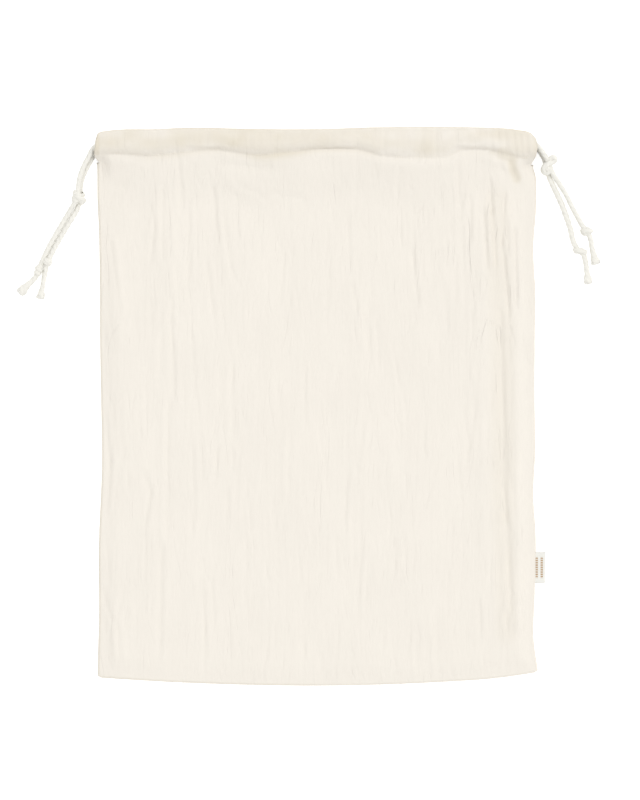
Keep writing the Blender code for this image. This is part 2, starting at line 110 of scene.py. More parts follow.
# Outline of the bag: (along the edge, out to the edge)
LEFT_EDGE = (
    (-246.5, -200.4), (-225, -200.0), (-199.5, -199.2), (-133, -199.4), (-51, -196.4), (6, -197.2),
    (62, -198.2), (115, -198.4), (165, -199.4), (190, -200.5), (217, -200.7), (221.6, -200.9), (225, -202.4),
    (229.5, -203.0), (236, -202.2), (243, -201.4), (250.2, -199.4),
)
RIGHT_EDGE = (
    (-241.5, 200.9), (-219.6, 197.6), (-167.6, 198.2), (-120, 199.0), (-80, 196.8), (-42, 198.6),
    (6.4, 198.0), (60, 198.2), (100, 198.8), (143, 196.8), (192.2, 199.6), (211, 198.7), (218.5, 196.6),
    (223.5, 197.2), (230, 198.8), (237, 199.8), (245.5, 198.2),
)
BOTTOM_EDGE = (
    (-200.4, -246.5), (-146.2, -249.9), (-94.3, -252.2), (2.3, -253.9), (107, -250.8), (168, -246.4),
    (200.9, -241.5),
)
TOP_EDGE = (
    (-199.4, 250.2), (-183.6, 252.0), (-142.6, 252.8), (-122.5, 253.8), (-58.8, 252.8), (6.8, 252.8),
    (47.8, 254.2), (148, 254.2), (161.7, 253.8), (181.7, 252.0), (194, 248.9), (198.2, 245.5),
)
STITCH_LINE = (
    (-199, 229.5), (-185, 230.6), (-171, 229.8), (-154, 228.6), (-143, 229.2), (-128, 231.0), (-104, 233.4),
    (-92, 234.0), (-79, 232.4), (-64, 230.2), (-55, 229.4), (-42, 230.2), (-25, 232.4), (-3, 234.4),
    (25, 235.4), (38.5, 234.2), (46, 232.0), (53.5, 229.4), (66, 227.9), (84, 226.8), (112, 226.8),
    (119.5, 228.2), (126, 232.0), (134, 234.2), (148, 234.8), (157, 233.8), (166, 231.4), (175, 228.8),
    (184.5, 226.8), (199, 227.5),
)

# Section of a casing: (from the stitch line to the top, clear height inside)
CASING_SECTION = (
    (0.0, 0.4), (0.04, 1.1), (0.1, 2.15), (0.18, 3.35), (0.28, 4.5), (0.42, 5.4), (0.7, 5.6), (0.9, 4.7),
)
SWELL_QUICK = 1.15  # how much sooner the front casing swells than its section
PUFF, PUFF_BELOW, PUFF_WIDE = 0.65, 6.5, 4.5  # how the cloth swells out again just under its stitches
PUFF_START = (-0.2, 3)
CASING_CLEAR = 5.8  # clear height that both casings were laid out for
# Extra height of the front casing: (across the bag, height)
CASING_SWELL = (
    (-199, 0.0), (-150, 0.7), (-105, 0.1), (-60, 0.9), (-20, 0.2), (35, 0.9), (90, 0.1), (135, 0.8),
    (165, 0.1), (199, 0.3),
)

FIELD = 300.0  # from the middle to the edge of the square that is uneven
# Soft unevenness: (amount, how wide and how tall a patch is, seed). First four: the gauze's crinkle
CRINKLE_DRIFT = ((3.0, 60, 70, 7),)
CRINKLE_STRENGTH = ((0.35, 50, 80, 8),)
FINE_CRINKLE = ((0.13, 4.2, 26, 9), (0.10, 6.5, 38, 10))
BROAD_CRINKLE = ((0.4, 13, 60, 11), (0.65, 34, 90, 12))
PUFF_UNEVEN = ((0.7, 24, 60, 51),)
SWELL_UNEVEN = ((0.4, 33, 60, 52),)
BROAD_PUCKERS = ((0.5, 21, 26, 93),)
BACK_UNEVEN = ((0.1, 9, 40, 71),)
MOTTLE = ((0.42, 22, 9, 61), (0.28, 8, 7, 62))
CRINKLE_LEAN, CRINKLE_USUAL = 0.02, 0.65  # how much it leans to one side, and its usual strength
CORNER_CRINKLE = 1.1  # how much more of the broad crinkle there is in the upper corners
CORNERS_OUT, CORNERS_UP = (80, 180), (40, 190)  # where that begins and is at its full strength
PUCKER = 0.38  # depth of the casing's fine puckers
FINE_PUCKERS = ((2, 4.5, 24, 91), (-3, 8, 30, 92))  # (lean, how wide and how tall a patch is, seed)
PUCKER_LEVELS = 60  # how tall the casing counts in them
PUCKER_FADE, PUCKER_START = 0.4, (-0.02, 0.1)  # share of their depth lost by the top, and where they begin
GATHERED_ENDS = (0.7, 0.9, 0.3)  # strength of the puckers, and how much more at the right and the left end
GATHERED_RIGHT, GATHERED_LEFT = (150, 180), (150, 190)  # where that begins and is at its full strength
# Where creases and crinkle start and are at their full depth: in from the edges, and down from the stitches
EDGE_FREE, STITCH_FREE = (-1, 7), (-0.5, 5)
SCATTERED, SCATTERED_LEAN = 230, 0.09  # creases that lie here and there, and how far they lean
SCATTERED_OVER = ((-192, 192), (-240, 222))  # across and up the bag
SCATTERED_SIZES = ((10, 46), (1.2, 2.6), (0.15, 0.5))  # length, half width and depth of one
CREASE_REACH = 5  # half widths within which a crease is worked out
LIP_HEIGHT, LIP_OUT = 0.7, 1.8  # of its depth, and half widths from its line

# Creases that cross the front casing: (x at the stitches, x at the top, half width, depth)
CASING_CREASES = (
    (-148, -146, 1.7, 0.5), (-118, -121, 1.5, 0.35), (-101, -99, 1.8, 0.5), (-73, -71, 1.7, 0.5),
    (-61, -62, 1.5, 0.4), (-33, -30, 1.6, 0.35), (14, 12, 1.6, 0.35), (34, 35, 1.8, 0.6), (61, 61, 1.9, 0.7),
    (92, 95, 1.8, 0.6), (108, 107, 1.9, 0.7), (127, 124, 1.7, 0.5), (158, 157, 1.7, 0.6),
    (165, 164, 1.6, 0.7), (170, 170, 1.6, 0.6), (180, 178, 1.7, 0.8), (186, 183, 1.7, 0.8),
    (191, 189, 1.5, 0.5),
)

# Folds of the front panel: (from x, from y, to x, to y, half width, height), a trough where height is below 0
FOLDS = (
    (158, 196, 166, 60, 9, -0.7),  # the long fold down the right side, in three lengths
    (166, 60, 169, -70, 8, -0.8),
    (169, -70, 172, -205, 8, -0.7),
    (180, 165, 184, -195, 8, 2.6),  # the ridges on both sides of it
    (148, 165, 153, -140, 9, 1.8),
    (166, 224, 178, 219, 7, -1.2),  # the tuck under the right end of the casing
    (178, 219, 185, 203, 7, -2.6),
    (188, 214, 190, 180, 7, 2.2),
    (60, 219, 130, 221, 8, 1.4),  # the ridge under the casing
    (-90, 222, -40, 214, 8, -1.4),  # the creases across under the casing
    (-78, 205, -45, 190, 9, 1.4),
    (-186, 203, -172, 198, 8, -1.2),
    (-190, 150, -178, 60, 7, 1.8),  # the folds down the left side
    (-190, 5, -188, -90, 6, -1.1),
    (-160, -30, -150, -120, 10, 1.6),
    (-194, -168, -180, -225, 7, 1.8),
    (-138, 165, -132, 60, 9, 1.3),
    (-72, 80, -66, -50, 10, 1.4),
    (20, 140, 46, 20, 12, 1.2),
    (96, 150, 92, 40, 11, 1.2),
)
# Creases in the front panel: (from x, from y, to x, to y, half width, depth, side of the raised lip)
CREASES = (
    (-188, 149, -180, 88, 2.2, 0.9, 1),  # down the left side
    (-197, 82, -193, 60, 2.0, 0.8, 1),
    (-189, 203, -176, 201, 2.2, 0.9, -1),
    (-127, 226, -123, 187, 2.4, 0.7, 1),
    (-141, 199, -141, 136, 2.4, 0.8, -1),
    (-117, 176, -117, 119, 2.2, 0.7, 1),
    (-95, 199, -92, 159, 2.4, 0.8, 1),
    (-86, 176, -78, 119, 2.2, 0.7, -1),
    (-101, 131, -95, 86, 2.2, 0.7, 1),
    (-115, 68, -112, 26, 2.2, 0.6, 1),
    (-129, 128, -127, 110, 1.8, 0.6, -1),
    (-133, 98, -131, 8, 2.6, 0.9, 1),
    (-77, 35, -78, -26, 2.4, 0.7, -1),
    (-87, 221, -43, 215, 2.6, 0.9, -1),  # arched under the casing
    (-73, 203, -48, 190, 2.6, 0.8, -1),
    (-40, 195, -14, 190, 2.4, 0.7, 1),
    (127, 222, 130, 173, 2.2, 0.9, -1),  # the fan at the right
    (139, 190, 139, 153, 2.0, 0.9, 1),
    (151, 176, 154, 131, 2.0, 1.1, 1),
    (157, 205, 159, 178, 1.9, 1.3, 1),
    (159, 178, 162, 128, 1.9, 1.6, -1),
    (170, 194, 168, 150, 1.9, 1.3, 1),
    (168, 150, 174, 86, 2.0, 1.5, 1),
    (172, 168, 173, 140, 1.8, 1.3, 1),
    (179, 160, 181, 96, 1.9, 1.6, 1),
    (86, 138, 91, 98, 2.4, 0.7, 1),
    (32, 110, 36, 86, 2.0, 0.6, 1),
    (42, 86, 46, 52, 2.0, 0.6, -1),
    (166, 86, 171, -98, 2.8, 1.1, 1),  # the long fold's own line, and its hook at the foot
    (171, -98, 176, -182, 2.6, 1.2, -1),
    (176, -182, 172, -190, 2.4, 1.1, -1),
    (172, -190, 173, -205, 2.2, 0.9, -1),
    (147, -179, 148, -205, 2.0, 0.8, 1),
    (185, -179, 186, -198, 2.0, 0.8, -1),
    (70, -123, 71, -147, 2.0, 0.6, 1),
    (-194, -11, -189, -50, 2.4, 1.0, 1),  # low on the left side
    (-189, -50, -192, -91, 2.4, 1.0, 1),
    (-157, -64, -152, -77, 2.2, 0.8, 1),
    (-152, -77, -157, -107, 2.2, 0.8, 1),
    (-136, 6, -137, -116, 2.6, 0.8, -1),
    (-142, -129, -144, -221, 2.6, 0.8, 1),
    (-114, -39, -113, -107, 2.4, 0.7, 1),
    (-92, -41, -94, -70, 2.0, 0.6, -1),
    (-82, -77, -82, -102, 2.0, 0.6, 1),
    (-67, -85, -67, -106, 2.0, 0.5, -1),
    (-103, -198, -103, -229, 2.2, 0.6, 1),
    (-195, -167, -194, -177, 2.2, 1.0, -1),
    (-194, -177, -182, -203, 2.4, 1.0, -1),
    (-182, -203, -180, -229, 2.2, 0.9, -1),
    (155, 229, 165, 227, 2.4, 0.9, -1),  # the tuck at the right end of the casing
    (165, 227, 175, 223, 3.0, 1.2, -1),
    (175, 223, 180.6, 207, 2.8, 1.5, -1),
)

# Where the cloth lies double in the tuck, and painted shade in the tuck and in the valley of the long fold:
# (from x, from y, to x, to y, half width, amount)
DOUBLED_AND_FOLD_SHADE = (
    (159, 232, 169, 230, 2.8, 0.7),  # the tuck at the right end of the casing: doubled cloth and painted shade
    (168, 231, 177, 226.5, 5.4, 1.2),
    (176.2, 226, 177.8, 216, 4.1, 1.45),
    (178, 216, 181.2, 208.2, 4.5, 1.3),
    (163, 188, 168, 60, 11, 0.35),  # painted shade in the valley of the long fold down the right side
    (168, 60, 169, -100, 11, 0.4),
    (169, -100, 172, -205, 10, 0.3),
)

# Where the crinkle is drawn together and stronger: (from x, from y, to x, to y, half width, how much more)
GATHERED = (
    (98, 215, 118, 150, 17, 0.9),  # the fan at the right
    (140, 200, 163, 70, 20, 2.2),
    (166, 70, 172, -200, 10, 1.4),
    (-128, 205, -118, 95, 24, 0.7),
    (-186, 140, -180, -100, 10, 0.6),
    (-60, 212, 30, 205, 10, 0.7),
)

# Painted light and shade in bands up a casing, lighter just over its stitches, where its slope is shaded, and
# darker higher up: (up from the stitches, layers)
CASING_LIGHT_AND_SHADE = ((0, -0.5), (3.5, -0.4), (6, 0.0), (9, 0.25), (13, 0.35), (17, 0.1), (20, 0.0))
# A casing's tone, darker in some places and lighter in others along it: (across the bag, layers)
CASING_ACROSS = (
    (-199, 0.0), (-130, -0.05), (-85, 0.35), (-36, 0.1), (20, 0.0), (50, -0.2), (70, -0.45), (84, -0.4),
    (100, -0.2), (125, -0.4), (140, -0.5), (157, -0.4), (175, 0.0), (199, 0.0),
)
# Turnings that show through just below the stitches, together with painted shade in the groove there: (across
# the bag, layers)
TURNINGS_AND_SHADE = (
    (-199, 0.1), (-165, 0.3), (-150, 0.7), (-125, 0.9), (-105, 0.6), (-72, 0.6), (-58, 1.4), (-15, 1.5),
    (-4, 0.9), (20, 0.7), (45, 0.6), (60, 0.1), (199, 0.0),
)
TURNING_REACH = (2.2, 1.6)  # how far down they show, and how much further for each layer
CASING_SEEN, TOP_PAINTED_SHADE = 0.8, 0.8  # cloth seen all over a casing, and painted shade along its top edge, which turns away from the light
END_PAINTED_SHADES, SEAM_LAYERS_AND_SHADE = (1.2, 0.5), (0.6, 0.3)  # painted shade at the left and right ends of a casing, where its open ends are dark inside; and along the seams, where the turned edge lies double and painted shade makes the left one darker
# Bands in which the painted shade along the top and at the casing's left and right ends sets in
TOP_BAND, LEFT_BAND, RIGHT_BAND = (-2.2, -0.8), (197.2, 199), (194, 198)
AT_STITCHES = (-0.6, 0.6)  # where the casing's tone sets in

# Places of a cord in the casing: (across the bag, up the bag)
LOWER_LANE = ((-191, 238.6), (-100, 238.8), (27, 239.4), (150, 238.9), (192, 238.0))
UPPER_LANE = ((-192, 245.6), (-100, 246.4), (150, 246.6), (180, 244.8), (189, 243.4))

# Free ends of the drawstrings, from the casing to the tip: (x, y, z, thickness as a share of CORD)
LEFT_FRONT_END = (
    (-198.5, 238.2, 13.6, 1.0), (-204.0, 234.6, 10.8, 1.0), (-208.0, 227.6, 8.6, 1.0),
    (-212.6, 219.0, 7.4, 1.0), (-216.4, 208.0, 7.3, 1.0), (-217.6, 198.5, 7.6, 1.0),
    (-218.6, 189.5, 7.2, 1.0), (-223.4, 181.6, 4.6, 1.0), (-228.2, 173.8, 2.7, 1.0),
    (-237.8, 157.6, 2.7, 1.0), (-247.2, 140.2, 2.7, 1.0), (-251.0, 131.6, 3.4, 1.0),
    (-254.0, 124.4, 4.1, 1.0), (-256.6, 118.6, 3.2, 1.0), (-261.6, 113.0, 2.9, 1.12),
    (-265.2, 109.8, 3.6, 1.35), (-268.2, 106.4, 4.0, 1.7), (-270.2, 104.2, 4.0, 1.6),
)
LEFT_BACK_END = (
    (-197.5, 237.4, 3.9, 1.0), (-202.2, 233.0, 3.7, 1.0), (-205.4, 226.6, 2.8, 1.0),
    (-210.0, 217.6, 2.7, 1.0), (-214.2, 208.0, 2.7, 1.0), (-216.0, 198.5, 2.7, 1.0),
    (-216.6, 189.5, 2.7, 1.0), (-218.4, 180.6, 2.7, 1.0), (-223.2, 172.2, 2.7, 1.0),
    (-232.4, 156.8, 2.7, 1.0), (-241.0, 141.6, 2.7, 1.0), (-243.6, 136.0, 3.2, 1.0),
    (-246.0, 131.4, 4.1, 1.0), (-247.2, 126.0, 3.4, 1.0), (-248.6, 119.0, 2.7, 0.95),
    (-250.4, 109.0, 2.7, 0.95), (-251.4, 103.5, 3.2, 1.2), (-252.0, 99.8, 3.7, 1.5),
)
RIGHT_FRONT_END = (
    (195.6, 240.6, 14.3, 1.0), (200.6, 236.6, 12.6, 1.0), (204.8, 231.6, 10.4, 1.0), (208.4, 226.0, 8.6, 1.0),
    (211.4, 219.0, 7.6, 1.0), (214.4, 212.0, 6.0, 1.0), (219.4, 204.6, 3.2, 0.96), (225.9, 194.3, 2.7, 0.94),
    (231.2, 183.4, 2.7, 0.94), (237.1, 172.5, 2.7, 1.0), (241.2, 165.2, 3.2, 1.0), (245.1, 160.0, 4.2, 1.0),
    (248.4, 153.6, 3.2, 1.0), (250.2, 144.0, 2.7, 1.0), (251.8, 137.4, 3.0, 1.2), (253.4, 131.4, 3.9, 1.65),
)
RIGHT_BACK_END = (
    (195.0, 240.6, 3.9, 1.0), (200.0, 236.2, 3.7, 1.0), (204.0, 230.6, 2.9, 1.0), (207.2, 223.8, 2.7, 1.0),
    (209.0, 216.4, 2.7, 1.0), (211.2, 208.6, 2.7, 1.0), (216.6, 197.0, 2.8, 1.08), (221.6, 186.2, 2.9, 1.12),
    (226.2, 174.4, 2.9, 1.12), (230.4, 161.6, 2.8, 1.08), (233.6, 149.0, 2.9, 1.04), (237.6, 142.8, 3.4, 1.0),
    (241.6, 139.6, 3.2, 1.0), (243.8, 133.2, 2.7, 1.0), (245.2, 124.0, 2.7, 1.0), (245.7, 120.4, 2.9, 1.1),
    (246.0, 118.4, 3.3, 1.35), (246.7, 113.4, 3.4, 1.4),
)
# Knots: (name, x, y, z, length along the cord, width, height, turn of the cord's line, turns, thickness)
LEFT_KNOTS = (
    ("left_pair_knot", -217.0, 190.6, 5.4, 15.4, 14.2, 10.6, -108, 1.55, 6.9),
    ("left_front_knot", -253.8, 124.8, 4.25, 12.6, 7.6, 8.3, -100, 2.1, 5.0),
    ("left_back_knot", -245.7, 132.0, 4.25, 9.8, 8.4, 8.3, -112, 2.1, 5.0),
)
RIGHT_KNOTS = (
    ("right_front_knot", 245.1, 160.0, 4.25, 9.2, 11.4, 8.3, -65, 1.7, 4.8),
    ("right_back_knot", 239.0, 142.0, 3.9, 7.6, 13.0, 7.6, -84, 1.7, 4.6),
)
# Tip of a cord: (beyond its last point, share of its width)
TIP_DOME = ((0.5, 0.97), (1.0, 0.88), (1.4, 0.72), (1.7, 0.45))
LOOSE_GROOVE = 0.34  # depth between strands at a cut tip, as a share of the radius
LOOSE_SPREAD = 0.18  # how much wider and flatter the cord is at its tip
LOOSE_LENGTH = 12.0  # how far back from the tip the strands come apart
FIBRES, FIBRE, FIBRE_ROOT = 70, 0.3, 0.6  # at a tip, radius of one, and how far inside the cord it starts
FIBRE_LENGTHS, FIBRE_BEND = (1.6, 2.9), 0.12  # from shortest to longest, and how much they bend
# Share of the cord's radius that they fill, and how much the outer ones lean out and are shorter
FIBRES_WITHIN, FIBRE_SPLAY = 0.92, 0.3
FIBRE_TAPER, FIBRE_SPINS = 0.6, (0, 2.1, 4.2)  # how much thinner its tip is, and its three sides' directions
# The right drawstring's two ends tied together: (x, y, z, thickness as a share of CORD)
RIGHT_PAIR_KNOT = (
    (209.4, 220.2, 7.0, 1.0), (211.2, 224.4, 8.2, 1.0), (213.2, 226.8, 9.0, 1.0), (215.4, 226.6, 9.4, 1.0),
    (216.2, 224.6, 9.0, 1.0), (214.2, 223.0, 8.6, 1.0), (211.6, 222.2, 9.4, 1.05), (208.6, 220.4, 10.4, 1.1),
    (206.2, 218.0, 10.0, 1.1), (205.6, 215.2, 8.2, 1.05), (207.4, 213.2, 7.2, 1.05),
    (210.2, 213.8, 7.8, 1.05), (211.2, 216.0, 8.6, 1.05), (209.8, 217.4, 9.4, 1.0), (208.4, 216.4, 9.2, 1.0),
    (209.6, 215.2, 7.4, 1.0),
)
PAIR_DROP = 4.0  # how far its second cord lies below the first
KNOT_SLANT = 0.3  # how far a knot's turns lean along the cord, as a share of how far they reach across it
# Its rings, its turns' first angle, and the share of its length in which it opens and closes
KNOT_STEPS, KNOT_START, KNOT_OPENS = 120, 0.5, 0.13

# Stitches: places of rings along one, as shares of its length, and points round it
STITCH_SHARES, STITCH_SIDES = (0.12, 0.22, 0.38, 0.5, 0.62, 0.78, 0.88), 6
THREAD, THREAD_ARCH, THREAD_SUNK = 0.34, 0.30, 0.22  # radius, height of its arch, and how deep its ends lie
THREAD_ENDS = 0.55  # share of its radius that it has at its ends
STITCH_SWAY = 0.12  # how far a stitch strays from the line
SEWN, SEWN_SHORT = (-196, 194), 2  # across the bag, and how far short of each end the stitches stop
SEWN_POINTS = 400  # of the line that they follow
# Needle holes: where the thread pulls on them, their radius there, and elsewhere
PULLED = ((-103, -93), (-65, -47), (-4, 26), (73, 123))
PULLED_HOLE, NEEDLE_HOLE = 0.62, 0.36
HOLE_LIP, HOLE_DEPTH = 0.03, 0.25  # above and below the cloth
HOLE_TALL = 0.9  # share of its width
OFF_FLOOR = 0.05  # how far the sewing stays over the floor

# The folded ribbon: its ends along the seam, its seam, and how far it starts from it
RIBBON_BOTTOM, RIBBON_TOP, RIBBON_SEAM, RIBBON_GAP = -160.3, -132.0, 197.4, 0.35
RIBBON_CLOTH, RIBBON_APART = 0.7, 1.3  # its thickness, and from layer to layer
RIBBON_ROWS = 25  # of points, up the seam
# Shares of its reach: where its layers run straight, and where it sinks to the floor
RIBBON_STRAIGHT, RIBBON_FALL = (-0.16, 0.93), (-0.3, 1.1)
RIBBON_WAVE = (0.12, 0.55, 2)  # a soft wave's height, and its turn for each mm up it and across its reach
RIBBON_LOW = 0.6  # middle of its lower layer over the floor
RIBBON_POINTS, FOLD_POINTS = 10, 7  # across each layer, and round the fold
RIBBON_TURN = 0.5  # what its fold adds to its reach
# Woven bars on it: first column from the seam, half the columns' pitch, a bar's reach across, half the bars'
# pitch up the ribbon, a bar's thickness; and how far up and down from its middle they go
RIBBON_BARS, RIBBON_BARRED = (2.2, 2.3, 2.2, 0.8, 0.9), 9.5

# Looks of plain materials: roughness, sheen, size and amount of the drift in tone, and the fibres' number to
# the metre each way, detail, strength and depth in metres
CORD_LOOK = (0.88, 0.15, 0.004, 0.10, ((1500, 1100, 1500), 3.0, 0.8, 0.0003))
THREAD_LOOK = (0.7, 0.1, 0.002, 0.12, ((3500, 3000, 3000), 1.0, 0.6, 0.0001))
HOLE_LOOK = (0.95, 0.0, 0.01, 0.5, None)
HOLE_PAINTED_SHADE = (0.62, 0.52, 0.36)  # painted shade: share of the muslin's colour left inside a needle hole
WAVE_PITCH = 0.314  # from band to band of a wave texture at scale 1

CAMERA_OVER = (-0.0011, 0.0064)  # X and Y of the camera, in metres
# Soft suns: (name, setting with its strength, angle, place from the bag's middle)
SUNS = (
    ("overhead_light", "overhead", 110, (0.3, 0.2, 2.5)),
    ("key_light", "key", 45, (1.6, 0.6, 1.8)),
)


# ---------------------------------------------------------------- sizes and colours that a user would change


def a_number(name, description, default, **more):
    return bpy.props.FloatProperty(name=name, description=description, default=default, **more)


def a_length(name, description, default):
    return a_number(name, description, default, unit="LENGTH")


def a_colour(name, description, default):
    return bpy.props.FloatVectorProperty(
        name=name, description=description, default=default, subtype="COLOR", min=0, max=1
    )


class BagCloth(bpy.types.PropertyGroup):
    thickness: a_length("Thickness", "Thickness of the doubled gauze", 0.0009)
    fold_depth: a_number("Folds", "Depth of the broad folds, as a share of their own", 0.5)
    crease_depth: a_number("Creases", "Depth of the pressed creases, as a share of their own", 0.75)
    crinkle_depth: a_number("Crinkle", "Depth of the gauze's crinkle, as a share of its own", 0.8)
    thread_pitch: a_length("Thread pitch", "From thread to thread in the weave", 0.0008)
    colour: a_colour("Muslin", "Colour of the undyed muslin", (0.80, 0.756, 0.686))
    # This tint also darkens where shade is painted on: along the casing's top and ends, the seams, the tuck
    # and the long fold
    doubled_and_shade_tint: a_colour(
        "Doubled tint", "Tint of the cloth where more of it lies behind, as in a casing", (0.94, 0.928, 0.89)
    )
    thread_colour: a_colour("Sewing thread", "Colour of the sewing thread", (0.80, 0.76, 0.68))
    stitch: a_length("Stitch", "Length of a stitch", 0.0022)


class BagCords(bpy.types.PropertyGroup):
    diameter: a_length("Diameter", "Diameter of a drawstring", 0.005)
    lay: a_length("Lay", "Length in which a strand winds once round the cord", 0.017)
    groove: a_number("Groove", "Depth between strands, as a share of the radius", 0.22)
    colour: a_colour("Cotton", "Colour of the cotton cord", (0.78, 0.764, 0.708))
    # Painted light: the fibres at a cut tip get a paler colour than the cord, to cancel the shade among them
    fibre_painted_light_colour: a_colour("Cut fibres", "Colour of the fibres at a cut tip", (0.92, 0.915, 0.89))


class BagRibbon(bpy.types.PropertyGroup):
    width: a_length("Reach", "From the seam to the ribbon's fold", 0.0087)
    colour: a_colour("Ribbon", "Colour of the ribbon", (0.82, 0.81, 0.76))
    stripe_colour: a_colour("Stripes", "Colour of the ribbon's woven stripes", (0.40, 0.225, 0.08))


class BagStudio(bpy.types.PropertyGroup):
    camera_height: a_length("Camera height", "From the floor to the camera", 5.0)
    view_height: a_length("View height", "Length of floor that the camera takes in", 0.7288)
    overhead: a_number("Overhead light", "Strength of the very wide soft light above", 1.40)
    key: a_number("Key light", "Strength of the soft light from the right", 0.38)
    fill: a_number("Fill", "Strength of the even light all round", 0.67)
    floor_colour: a_colour("Floor", "Colour of the floor", (0.82, 0.82, 0.82))
    floor_glow: a_number("Floor glow", "Strength of the floor's own light, which keeps it white", 0.5)


# ---------------------------------------------------------------- curves through tables, and meshes


def smooth_through(stations, values, places):
    """The values at the places on the smooth curve that passes through the values at the stations."""
    stations, values = np.array(stations, float), np.array(values, float)
    if values.ndim == 1:
        return smooth_through(stations, values[:, None], places)[..., 0]
    gaps = np.diff(stations)[:, None]
    slopes = np.diff(values, axis=0) / gaps
    inner = (slopes[:-1] * gaps[1:] + slopes[1:] * gaps[:-1]) / (gaps[:-1] + gaps[1:])
    tangents = np.concatenate([slopes[:1], inner, slopes[-1:]])
    places = np.clip(np.asarray(places, float), stations[0], stations[-1])
    i = np.clip(np.searchsorted(stations, places, side="right") - 1, 0, len(gaps) - 1)
    t = ((places - stations[i]) / gaps[i, 0])[..., None]
    return (
        values[i] * (1 + 2 * t) * (1 - t) ** 2
        + values[i + 1] * t**2 * (3 - 2 * t)
        + gaps[i] * (tangents[i] * t * (1 - t) ** 2 - tangents[i + 1] * t**2 * (1 - t))
    )


def along(table, places):
    """The second column of a table at the places along its first."""
    columns = np.array(table, float)
    return smooth_through(columns[:, 0], columns[:, 1], places)


def soft_step(values, start, end):
    """From 0 at start to 1 at end, level at both."""
    t = np.clip((values - start) / (end - start), 0, 1)
    return t * t * (3 - 2 * t)


def stations_along(points):
    """How far along a line each of its points lies."""
    return np.concatenate([[0], np.cumsum(np.linalg.norm(np.diff(points[:, :3], axis=0), axis=1))])


def spaced(route, step):
    """Points a step apart on the smooth curve through a route's points."""
    route = np.array(route, float)
    stations = stations_along(route)
    count = max(2, round(stations[-1] / step))
    return smooth_through(stations, route, np.linspace(0, stations[-1], count + 1))


def placed(points):
    """Points of the tables in metres, in the bag's frame."""
    return (np.asarray(points, float) + (BAG_MIDDLE, 0, 0)) * MM


def grid_faces(rows, wide):
    """Faces of a grid of points, row after row."""
    corners = [(i * wide + j, (i + 1) * wide + j) for i in range(rows - 1) for j in range(wide - 1)]
    return [(low, low + 1, high + 1, high) for low, high in corners]


def tube_faces(rings, around, start=0):
    """Faces round a tube, whose points go ring after ring."""
    faces = []
    for low in range(start, start + (rings - 1) * around, around):
        for k in range(around):
            n = (k + 1) % around
            faces.append((low + k, low + n, low + around + n, low + around + k))
    return faces


def add_object(name, data):
    made = bpy.data.objects.new(name, data)
    bpy.context.scene.collection.objects.link(made)
    return made


def object_from(name, mesh):
    """An object with what a bmesh holds."""
    data = bpy.data.meshes.new(name)
    mesh.to_mesh(data)
    mesh.free()
    return add_object(name, data)


def new_piece(name, points, faces):
    """An object in the scene with this mesh, smooth and facing out."""
    data = bpy.data.meshes.new(name)
    data.from_pydata([tuple(p) for p in placed(points)], [], faces)
    mesh = bmesh.new()
    mesh.from_mesh(data)
    bmesh.ops.recalc_face_normals(mesh, faces=mesh.faces)
    mesh.to_mesh(data)
    mesh.free()
    data.shade_smooth()
    return add_object(name, data)


def join_pieces(name, pieces):
    mesh = bmesh.new()
    for piece in pieces:
        old = piece.data
        mesh.from_mesh(old)
        bpy.data.objects.remove(piece)
        bpy.data.meshes.remove(old)
    joined = object_from(name, mesh)
    joined.data.shade_smooth()
    return joined


def give_thickness(piece, thickness):
    solid = piece.modifiers.new("Thickness", "SOLIDIFY")
    solid.thickness = thickness
    solid.offset = 0


# ---------------------------------------------------------------- form of the muslin


def hem_height(x):
    """Middle of the front casing's turned-in layer."""
    level = 2 * PANEL_CLOTH + CASING_CLEAR + MOUTH_GAP + PANEL_CLOTH / 2
    return level - END_DROP * soft_step(np.abs(x), DROP_FROM, DROP_TO)


def away_from(line, x, y):
    """How far points are from a line, and on which side of it."""
    from_x, from_y, to_x, to_y = line
    run_x, run_y = to_x - from_x, to_y - from_y
    length = math.hypot(run_x, run_y)
    share = np.clip(((x - from_x) * run_x + (y - from_y) * run_y) / length**2, 0, 1)
    beside = ((y - from_y) * run_x - (x - from_x) * run_y) / length
    return np.hypot(x - from_x - share * run_x, y - from_y - share * run_y), beside


def added_along(lines, x, y):
    """The amounts of a table's lines at the points, each fading away from its line."""
    total = np.zeros_like(x)
    for *line, half_width, amount in lines:
        away, _ = away_from(line, x, y)
        total += amount * np.exp(-((away / half_width) ** 2))
    return total


def crease_height(x, y, creases):
    """Height of pressed creases: each a narrow trough with a lip along one side."""
    height = np.zeros_like(x)
    for *line, half_width, depth, lip in creases:
        from_x, from_y, to_x, to_y = line
        near = (np.abs(x - (from_x + to_x) / 2) < abs(to_x - from_x) / 2 + CREASE_REACH * half_width) & (
            np.abs(y - (from_y + to_y) / 2) < abs(to_y - from_y) / 2 + CREASE_REACH * half_width
        )
        away, beside = away_from(line, x[near], y[near])
        trough = -depth * np.exp(-((away / half_width) ** 2))
        lip_side = soft_step(lip * beside, 0, half_width)
        ridge = LIP_HEIGHT * depth * lip_side * np.exp(-(((away - LIP_OUT * half_width) / half_width) ** 2))
        height[near] += trough + ridge
    return height


def scattered_creases():
    """Short soft creases all over, as the gauze has them, mostly up and down the bag."""
    chance = np.random.default_rng(41)
    lengths, half_widths, depths = SCATTERED_SIZES
    creases = []
    for _ in range(SCATTERED):
        x, y = (chance.uniform(*span) for span in SCATTERED_OVER)
        length, lean = chance.uniform(*lengths), chance.normal(0, SCATTERED_LEAN)
        half_width, depth = chance.uniform(*half_widths), chance.uniform(*depths)
        lip = 1 if chance.random() < 0.5 else -1
        creases.append((x, y, x + length * lean, y - length, half_width, depth, lip))
    return creases


